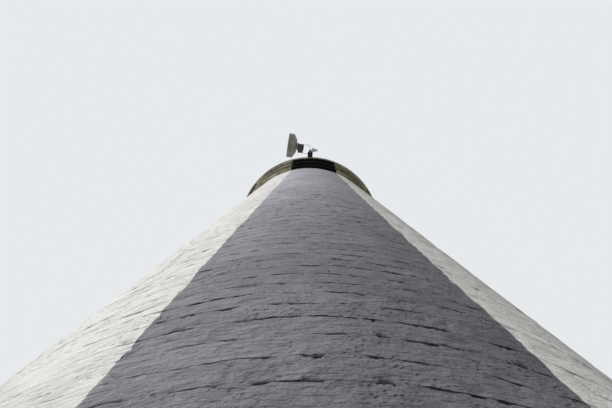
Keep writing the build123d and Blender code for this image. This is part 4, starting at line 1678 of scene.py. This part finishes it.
@dataclass
class Lantern:
    """Iron base wall, glazing and domed roof with its ventilator and rod."""

    strap_size: Place = (0.014, 0.085)
    strap_foot: float = 0.14
    rivet_radius: float = 0.011
    rivet_rows: int = 6
    rivet_spread: float = 0.026
    seam_radius: float = 0.014
    stud_radius: float = 0.009
    crossbar_height: float = 0.036
    crossbar_depth: float = 0.046
    door_share: float = 0.72
    door_inset: float = 0.07
    hinge_radius: float = 0.013
    hinge_inset: float = 0.12
    handle_length: float = 0.13
    ball_radius: float = 0.042
    ball_rise: float = 0.11
    neck_share: float = 0.31
    drum_share: float = 0.69
    slot_turn: float = 7.5
    first_corner: float = math.pi / 2 + STRIPE_TURN / 2

    def __post_init__(self) -> None:
        """Take the base wall's sizes from the CAD model."""
        low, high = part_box("lantern_wall")
        self.foot, self.head = low.z + self.strap_foot, high.z
        self.face = node_radius("lantern_wall", high.z)

    def build(self) -> None:
        """Build the lantern from the wall up."""
        self.wall()
        self.low_door()
        self.glazing()
        dress_nodes("gores", ROOF_BLACK, lantern_roof=0.0)
        self.seams()
        self.ventilator()
        low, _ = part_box("lightning_rod")
        rod = copy_node("lightning_rod_copper", "lightning_rod", 0.002)
        ball = add_primitive(
            bpy.ops.mesh.primitive_uv_sphere_add, "ball", segments=24, ring_count=14,
            radius=self.ball_radius, location=(0, 0, low.z + self.ball_rise)
        )
        finish_piece(join("lightning_rod_with_ball", rod, smooth(ball)), ROD_COPPER, "lightning_rod")

    def at_corners(self, name: str, piece: Piece, seed: int, turn: float = 0.0) -> Piece:
        """Repeat a piece at the lantern's corners, or turned on from them."""
        return repeat(name, piece, turns_round(STRIPE_COUNT, self.first_corner + turn), seed)

    def wall(self) -> None:
        """Build the base wall with its straps, bands and rivets."""
        dress_nodes("plate", LANTERN_WHITE, lantern_wall=0.004)
        face, foot, head = self.face, self.foot, self.head
        size, middle = (*self.strap_size, head - foot), (face + 0.003, 0, (head + foot) / 2)
        parts = [add_block("strap", size, middle, 0.004)]
        rows = np.linspace(foot + 0.06, head - 0.06, self.rivet_rows).tolist()
        for place in product((face + 0.013,), (-self.rivet_spread, self.rivet_spread), rows):
            parts.append(add_round("rivet", self.rivet_radius, 0.012, place, 0.004, Along.X, 10))
        straps = self.at_corners("straps", join("strap_set", *parts), 6)
        bands = []
        for level in (foot + 0.02, head - 0.03):
            profile = rectangle(face - 0.004, face + 0.009, level - 0.022, level + 0.022)
            bands.append(bevel(spin_profile("band", profile, steps=80), 0.003))
        finish_piece(join("lantern_wall_straps", straps, *bands), LANTERN_WHITE)

    def low_door(self) -> None:
        """Build the curved iron door from the lantern onto the gallery."""
        face, bottom, top, inset = self.face, self.foot + 0.06, self.head - 0.08, self.door_inset
        turn, margin, middle = STRIPE_TURN * self.door_share, inset / face, (bottom + top) / 2
        start = math.pi / 2 + STRIPE_TURN - turn / 2
        outline = rectangle(face - 0.002, face + 0.012, bottom, top)
        panel = rectangle(face + 0.010, face + 0.018, bottom + inset, top - inset)
        parts = [
            bevel(spin_profile("leaf", outline, turn, start, 8), 0.004),
            bevel(spin_profile("panel", panel, turn - 2 * margin, start + margin, 8), 0.005)
        ]
        for level in (bottom + self.hinge_inset, top - self.hinge_inset):
            hinge = add_round("hinge", self.hinge_radius, 0.09, (face + 0.018, 0, level))
            hinge.data.transform(turned(start))
            parts.append(bevel(hinge, 0.003))
        handle = add_round("handle", 0.010, self.handle_length, (face + 0.045, 0, middle), 0.003)
        lugs = [
            add_round("lug", 0.008, 0.04, (face + 0.028, 0, middle + rise), 0, Along.X, 12)
            for rise in (-0.05, 0.05)
        ]
        grip = join("grip", handle, *lugs)
        grip.data.transform(turned(start + turn - 0.05))
        finish_piece(join("lantern_low_door", *parts, grip), LANTERN_WHITE)

    def glazing(self) -> None:
        """Build the sill, the bars, the crossbars and the panes."""
        dress_nodes("iron", LANTERN_WHITE, lantern_sill=0.008, glazing_bars=0.004, lantern_eaves=0.008)
        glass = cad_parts["lantern_glass"]
        glass.data.materials.clear()
        glass.data.materials.append(CLEAR_GLASS.material())
        low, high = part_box("glazing_bars")
        circle = float(np.median(np.hypot(*node_places("glazing_bars")[:, :2].T)))
        pane, width = circle * math.cos(STRIPE_TURN / 2), 2 * circle * math.sin(STRIPE_TURN / 2) - 0.04
        end, deep = self.crossbar_height, self.crossbar_depth
        levels = ((low.z + end / 2, end), ((low.z + high.z) / 2, 0.030), (high.z - end / 2, end))
        bars = [
            add_block("crossbar", (deep, width, tall), (pane, 0, level), 0.004) for level, tall in levels
        ]
        crossbars = self.at_corners("glazing_crossbars", join("pane_bars", *bars), 9, STRIPE_TURN / 2)
        finish_piece(crossbars, LANTERN_WHITE)

    def seams(self) -> None:
        """Build the rolled seams over the roof's hips, with their studs."""
        line = self.hip_line()
        bpy.ops.object.select_all(action="DESELECT")
        bpy.ops.curve.primitive_bezier_curve_add()
        curve = bpy.context.object.data
        curve.splines.clear()
        spline = curve.splines.new("POLY")
        spline.points.add(len(line) - 1)
        for point, (radius, height) in zip(spline.points, line):
            point.co = (radius, 0, height, 1)
        curve.bevel_depth, curve.bevel_resolution = self.seam_radius, 3
        curve.use_fill_caps, curve.twist_mode = True, "Z_UP"
        bpy.ops.object.convert(target="MESH")
        parts = [smooth(bpy.context.object)]
        for radius, height in line[1:-1:2]:
            place = (radius + self.seam_radius * 0.5, 0, height + self.seam_radius * 0.6)
            parts.append(add_round("stud", self.stud_radius, 0.02, place, 0.003, sides=8))
        finish_piece(self.at_corners("roof_seams", join("seam_set", *parts), 12), ROOF_BLACK)

    def hip_line(self) -> Profile:
        """Line of a hip of the roof, read from the CAD node's corners.

        Returns:
            Points as (radius, height), from the eaves to the crown.
        """
        places = node_places("lantern_roof")
        turn = np.arctan2(places[:, 1], places[:, 0]) - self.first_corner
        off = np.abs(np.mod(turn + STRIPE_TURN / 2, STRIPE_TURN) - STRIPE_TURN / 2)
        radius = np.hypot(places[:, 0], places[:, 1])
        corners = np.column_stack((places[:, 2], radius))[off * radius < 0.002]
        outer = dict(sorted((round(height, 3), round(reach, 3)) for height, reach in corners.tolist()))
        line, furthest = [], 0.0
        for height, reach in reversed(outer.items()):
            if furthest <= reach + 0.001:
                line.append((reach, height))
            furthest = max(furthest, reach)
        return line[::-1]

    def ventilator(self) -> None:
        """Build the ventilator's drum with its slots."""
        low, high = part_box("ventilator")
        drum, outer, tall = node_radius("ventilator", low.z), high.x, high.z - low.z
        neck_top, drum_top = low.z + tall * self.neck_share, low.z + tall * self.drum_share
        profile = [(0.02, low.z), (drum + 0.02, low.z), (drum + 0.02, low.z + 0.015), (drum, low.z + 0.03)]
        profile += [(drum, neck_top - 0.01), (outer - 0.03, neck_top), (outer - 0.03, drum_top)]
        profile += [(outer, drum_top), (outer, drum_top + 0.012), (outer * 0.62, high.z - tall * 0.16)]
        profile += [(0.04, high.z - 0.004), (0.02, high.z)]

        def slotted(part: bmesh.types.BMFace) -> bool:
            """Whether a face is every second one round the drum's side."""
            middle = part.calc_center_median()
            return (
                abs(part.normal.z) < 0.1 and neck_top < middle.z < drum_top and middle.to_2d().length > drum
                and round(math.degrees(math.atan2(middle.y, middle.x)) / self.slot_turn) % 2 == 0
            )

        vent = spin_profile("ventilator_drum", profile, steps=round(360 / self.slot_turn))
        with Editing(vent) as editing:
            editing.pick("faces", slotted)
            bpy.ops.mesh.inset(thickness=0.006, depth=-0.02, use_individual=True)
        finish_piece(bevel(vent, 0.003), ROOF_BLACK, "ventilator")


@dataclass
class DishSet:
    """Shrouded microwave dish with its radio, yoke, mast and bracket, and a small side antenna.

    The dish, hub, radio and yoke are modelled square, facing left, and then swung about the mast.
    """

    turn: float = 6.0
    wall: float = 0.006
    hoop_share: float = 0.55
    hoop_section: tuple[Place, ...] = ((0, 0.056), (0.03, 0.068), (0.03, 0.046), (0, 0.034))
    band_width: float = 0.024
    thin_band_width: float = 0.008
    clips: int = 16
    clip_size: Place = (0.032, 0.022, 0.012)
    lugs: int = 12
    lug_size: Place = (0.024, 0.020, 0.016)
    plug_radius: float = 0.016
    plug_places: Place = (-0.10, -0.04, 0.06)
    handle_length: float = 0.14
    bolt_radius: float = 0.011
    yoke_bolts: Place = (0.04, 0.36)
    yoke_bolt_rise: float = 0.016
    plate_bolts: Place = (-0.070, -0.023, 0.023, 0.070)
    plate_bolt_rise: float = 0.064

    def __post_init__(self) -> None:
        """Take the swing about the mast and the dish's sizes from the CAD model."""
        low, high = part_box("antenna_mast")
        mast = Matrix.Translation((low + high) / 2)
        self.swing = mast @ turned(math.radians(self.turn)) @ mast.inverted()
        self.swing_back = self.swing.inverted()
        low, high = self.square_box("dish_reflector")
        self.back = Vector((high.x, (low.y + high.y) / 2, (low.z + high.z) / 2))
        self.radius, self.mouth = (high.z - low.z) / 2, high.x - low.x
        self.face = high.x - self.square_box("dish_shroud")[0].x

    def build(self) -> None:
        """Build the set from the dish to the bracket."""
        for make in (
            self.bowl, self.shroud, self.radome, self.hub, self.radio, self.yoke, self.mast, self.bracket,
            self.side
        ):
            make()

    def square_box(self, node: str) -> tuple[Vector, Vector]:
        """Lowest and highest corners of a CAD node before its swing about the mast."""
        places = np.array([self.swing_back @ Vector(place) for place in node_places(node)])
        return Vector(places.min(axis=0)), Vector(places.max(axis=0))

    def laid(self, name: str, profile: Profile, edge: float = 0.0) -> Piece:
        """Spin a profile about the dish's axis.

        Args:
            name: Name of the piece.
            profile: Corners as (distance from the axis, distance in front of the back).
            edge: Width of its rounded edges, or 0 to shade it smooth.

        Returns:
            The piece, still square.
        """
        piece = spin_profile(name, profile, steps=72)
        piece.data.transform(Matrix.Translation(self.back) @ turned(-math.pi / 2, "Y"))
        return bevel(piece, edge) if edge else smooth(piece)

    def band(self, middle: float, width: float) -> Piece:
        """Hoop round the shroud."""
        inner, outer = self.radius - 0.008, self.radius + 0.004
        return self.laid("band", rectangle(inner, outer, middle - width / 2, middle + width / 2), 0.0015)

    def round_axis(self, size: Place, edge: float, distance: float, out: float, count: int) -> Piece:
        """Lay a ring of blocks round the dish's axis.

        Args:
            size: Size of a block.
            edge: Width of its rounded edges.
            distance: Distance in front of the dish's back.
            out: Distance from the axis.
            count: Number of blocks.

        Returns:
            The ring of blocks.
        """
        middle = Matrix.Translation(self.back - Vector((distance, 0, 0)))
        turns = [turned(2 * math.pi * (index + 0.5) / count, "X") for index in range(count)]
        places = [middle @ turn @ Matrix.Translation((0, 0, out)) for turn in turns]
        return repeat("ring", add_block("block", size, edge=edge), places)

    def bolts(self, along: Along, *places: Place, scale: float = 1.0) -> list[Piece]:
        """Build hexagon bolt heads on washers.

        Args:
            along: Axis of the bolts.
            places: Their places along x, y and z, with a bolt at each mix of the three.
            scale: Size against the standard bolt.

        Returns:
            The heads and washers.
        """
        radius = self.bolt_radius * scale
        heads = []
        for place in product(*places):
            heads.append(add_round("washer", radius * 1.5, 0.004, place, 0, along, 14))
            heads.append(bevel(add_round("head", radius, 0.016, place, 0, along, 6), 0.0015, 1))
        return heads

    def fix(
        self, name: str, node: str, finish: Finish, *parts: Piece, edge: float = 0.0, square: bool = True
    ) -> None:
        """Join parts into one finished piece that stands for a node.

        Args:
            name: Name of the piece.
            node: CAD node that it replaces.
            finish: Its finish.
            parts: Parts that it is joined from.
            edge: Width of the rounded edges of a copy of the node that joins them, or 0 for no copy.
            square: Whether the parts are modelled square and are swung about the mast first.
        """
        piece = join(name, *parts)
        if square:
            piece.data.transform(self.swing)
        if edge:
            piece = join(name, piece, copy_node("body", node, edge, 3))
        finish_piece(piece, finish, node)

    def bowl(self) -> None:
        """Build the bowl with its stiffening hoop."""
        radius, mouth = self.radius, self.mouth
        bend = (radius**2 + mouth**2) / (2 * mouth)
        inside = bend - self.wall
        turns = np.linspace(0.04, math.acos((bend - mouth) / bend), 14)
        outer = [(bend * math.sin(turn), bend * (1 - math.cos(turn))) for turn in turns]
        inner = [(inside * math.sin(turn), bend - inside * math.cos(turn)) for turn in turns[::-1]]
        rim = [(radius - 0.001, mouth + 0.006), (radius - 0.02, mouth + 0.006)]
        foot = radius * self.hoop_share
        section = [(foot + out, front) for out, front in self.hoop_section]
        shell, hoop = self.laid("shell", outer + rim + inner), self.laid("hoop", section, 0.002)
        self.fix("dish_bowl", "dish_reflector", DISH_WHITE, shell, hoop)

    def shroud(self) -> None:
        """Build the shroud with its bands, seam and clips."""
        mouth, face, radius = self.mouth, self.face, self.radius
        middle, front = (mouth + face) / 2, face - 0.014
        foot = self.back - Vector((middle, 0, radius + 0.001))
        parts = [
            self.laid("sleeve", rectangle(radius - 0.005, radius - 0.001, mouth, face)),
            self.band(mouth + 0.004, self.band_width), self.band(front, self.band_width),
            self.band(middle, self.thin_band_width),
            add_block("seam", (face - mouth, 0.03, 0.004), foot, 0.001),
            self.round_axis(self.clip_size, 0.002, front, radius + 0.006, self.clips)
        ]
        self.fix("dish_shroud_sleeve", "dish_shroud", DISH_WHITE, *parts)

    def radome(self) -> None:
        """Build the sheet that closes the shroud, drawn tight over its rim."""
        radius, back = self.radius, self.face + 0.0005
        front = self.back.x - self.square_box("dish_radome")[0].x
        sheet = [(0.001, front)]
        sheet += [(radius * share, front - 0.006 * share**4) for share in np.linspace(0.15, 0.965, 10)]
        sheet += [(radius - 0.004, front - 0.009), (radius - 0.006, back), (0.001, back)]
        self.fix("dish_radome_sheet", "dish_radome", RADOME_SHEET, self.laid("sheet", sheet))

    def hub(self) -> None:
        """Build the hub with lugs round its edge."""
        low, high = self.square_box("dish_hub")
        middle, out = self.back.x - (low.x + high.x) / 2, (high.z - low.z) / 2 + 0.002
        lugs = self.round_axis(self.lug_size, 0.003, middle, out, self.lugs)
        self.fix("dish_hub_cast", "dish_hub", DISH_WHITE, lugs, edge=0.006)

    def radio(self) -> None:
        """Build the finned radio with its connectors and lifting handle."""
        low, high = self.square_box("radio_unit")
        x, y = (low.x + high.x) / 2 - 0.02, (low.y + high.y) / 2
        parts = []
        for side in self.plug_places:
            plug = (x, y + side, low.z - 0.018)
            parts.append(add_round("plug", self.plug_radius, 0.05, plug, 0.003, sides=18))
            nut = (x, y + side, low.z - 0.006)
            parts.append(add_round("nut", self.plug_radius + 0.006, 0.014, nut, 0.002, sides=6))
        bars = [add_block("grip", (0.02, self.handle_length, 0.014), (x, y, high.z + 0.034))]
        for side in (-1, 1):
            leg = (x, y + side * (self.handle_length / 2 - 0.007), high.z + 0.018)
            bars.append(add_block("leg", (0.02, 0.014, 0.04), leg))
        handle = bevel(join("handle", *bars), 0.003)
        self.fix("radio_case", "radio_unit", RADIO_GREY, *parts, handle, edge=0.003)

    def yoke(self) -> None:
        """Build the yoke's frame and clamp with their bolts."""
        low, high = self.square_box("dish_yoke")
        level, rise = (low.z + high.z) / 2, self.yoke_bolt_rise
        faces, levels = (low.y - 0.004, high.y + 0.004), (level - rise, level + rise)
        bolts = self.bolts(Along.Y, [low.x + place for place in self.yoke_bolts], faces, levels)
        self.fix("dish_yoke_bars", "dish_yoke", DARK_STEEL, *bolts, edge=0.0025)

    def mast(self) -> None:
        """Build the mast with its cap."""
        low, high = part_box("antenna_mast")
        middle = ((low.x + high.x) / 2, (low.y + high.y) / 2, high.z - 0.014)
        cap = bevel(add_round("cap", (high.x - low.x) / 2 + 0.003, 0.03, middle), 0.006, 3)
        self.fix("antenna_mast_tube", "antenna_mast", ZINC, cap, edge=0.004, square=False)

    def bracket(self) -> None:
        """Build the bracket on the deck's edge with the bolts of its plate and clamp."""
        low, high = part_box("mast_bracket")
        x, y, z = (low + high) / 2
        face, rise = node_radius("gallery_deck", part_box("gallery_deck")[0].z) + 0.014, self.plate_bolt_rise
        bolts = self.bolts(Along.X, (low.x - 0.003, high.x + 0.003), (y - 0.02, y + 0.05), (z,))
        for across in self.plate_bolts:
            front = -math.sqrt(face**2 - (x + across) ** 2)
            bolts += self.bolts(Along.Y, (x + across,), (front,), (z - rise, z + rise), scale=0.6)
        self.fix("mast_bracket_steel", "mast_bracket", DARK_STEEL, *bolts, edge=0.003, square=False)

    def side(self) -> None:
        """Build the small tapered antenna and its clamp."""
        dress_nodes("shell", ANTENNA_SHELL, 3, side_antenna=0.012)
        low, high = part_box("side_clamp")
        x, _, z = (low + high) / 2
        bolts = self.bolts(Along.Y, (x - 0.012, x + 0.012), (low.y - 0.002,), (z - 0.03, z + 0.03))
        self.fix("side_clamp_steel", "side_clamp", ZINC, *bolts, edge=0.003, square=False)


@dataclass
class Studio:
    """Pale floor, soft light and the camera at the photograph's angle."""

    eye: Place = (-0.14515, -3.45599, 1.6)
    lens: float = 35.29
    pitch: float = 83.526
    heading: float = 0.449
    roll: float = 2.779
    sun_azimuth: float = 55.0
    sun_elevation: float = 50.0
    sun_width: float = 5.0
    sun_strength: float = 3.9
    sun_colour: Colour = (1.0, 0.985, 0.955)
    sky_strength: float = 0.27
    sky_colour: Colour = (0.93, 0.96, 1.0)
    backdrop_colour: Colour = (0.80, 0.82, 0.84)
    floor_size: float = 900.0
    floor_colour: Colour = (0.42, 0.42, 0.41)

    def build(self) -> None:
        """Build the floor, the lights, the world and the camera."""
        self.floor()
        self.sun()
        self.world()
        self.camera()
        bpy.context.scene.view_settings.view_transform = "Standard"

    def floor(self) -> None:
        """Add the pale floor."""
        floor = add_primitive(bpy.ops.mesh.primitive_plane_add, "floor", size=self.floor_size)
        material = bpy.data.materials.new("pale_floor")
        material.use_nodes = True
        shader = Step(Graph(material.node_tree), material.node_tree.nodes["Principled BSDF"])
        shader["Base Color"], shader["Roughness"] = self.floor_colour, 0.9
        floor.data.materials.append(material)

    def sun(self) -> None:
        """Add a broad soft sun from the front left."""
        bpy.ops.object.light_add(type="SUN", location=(-8, -8, 30))
        lamp = bpy.context.object
        lamp.data.energy, lamp.data.angle = self.sun_strength, math.radians(self.sun_width)
        lamp.data.color = self.sun_colour
        lamp.rotation_euler = (math.radians(90 - self.sun_elevation), 0, math.radians(-self.sun_azimuth))

    def world(self) -> None:
        """Add the pale background, and the weaker light that it gives."""
        world = bpy.data.worlds.new("pale_sky")
        bpy.context.scene.world = world
        world.use_nodes = True
        graph = Graph(world.node_tree)
        world.node_tree.nodes.clear()
        light = {"Color": self.sky_colour, "Strength": self.sky_strength}
        lit = graph.add("ShaderNodeBackground", light)
        seen = graph.add("ShaderNodeBackground", {"Color": self.backdrop_colour, "Strength": 1.0})
        path = graph.add("ShaderNodeLightPath")
        direct = graph.math("ADD", path["Is Camera Ray"], path["Is Glossy Ray"], clamp=True)
        shown = graph.math("ADD", direct, path["Is Transmission Ray"], clamp=True)
        mixed = graph.add("ShaderNodeMixShader", {0: shown, 1: lit[0], 2: seen[0]})
        graph.add("ShaderNodeOutputWorld", {"Surface": mixed[0]})

    def camera(self) -> None:
        """Add the camera close to the wall, looking up along the front stripe."""
        bpy.ops.object.camera_add(location=(0, 0, 0))
        camera = bpy.context.object
        camera.data.lens, camera.data.sensor_width = self.lens, 36.0
        camera.data.clip_start, camera.data.clip_end = 0.05, 400.0
        heading, pitch, roll = (math.radians(angle) for angle in (self.heading, 90 + self.pitch, self.roll))
        aim = turned(heading) @ turned(pitch, "X") @ turned(roll)
        camera.matrix_world = Matrix.Translation(self.eye) @ aim
        bpy.context.scene.camera = camera


def write_sizes() -> None:
    """Bring the scene's placements up to date."""
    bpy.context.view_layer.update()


def main() -> None:
    """Dress the lighthouse from the ground up, and set the studio round it."""
    logging.basicConfig(level=logging.INFO, format="%(name)s: %(message)s")
    for part in (Base(), Doorway(), Cornice(), Gallery(), Lantern(), DishSet(), Shaft(), Studio()):
        LOG.info("building %s", type(part).__name__)
        part.build()
    write_sizes()


if __name__ == "__main__":
    main()
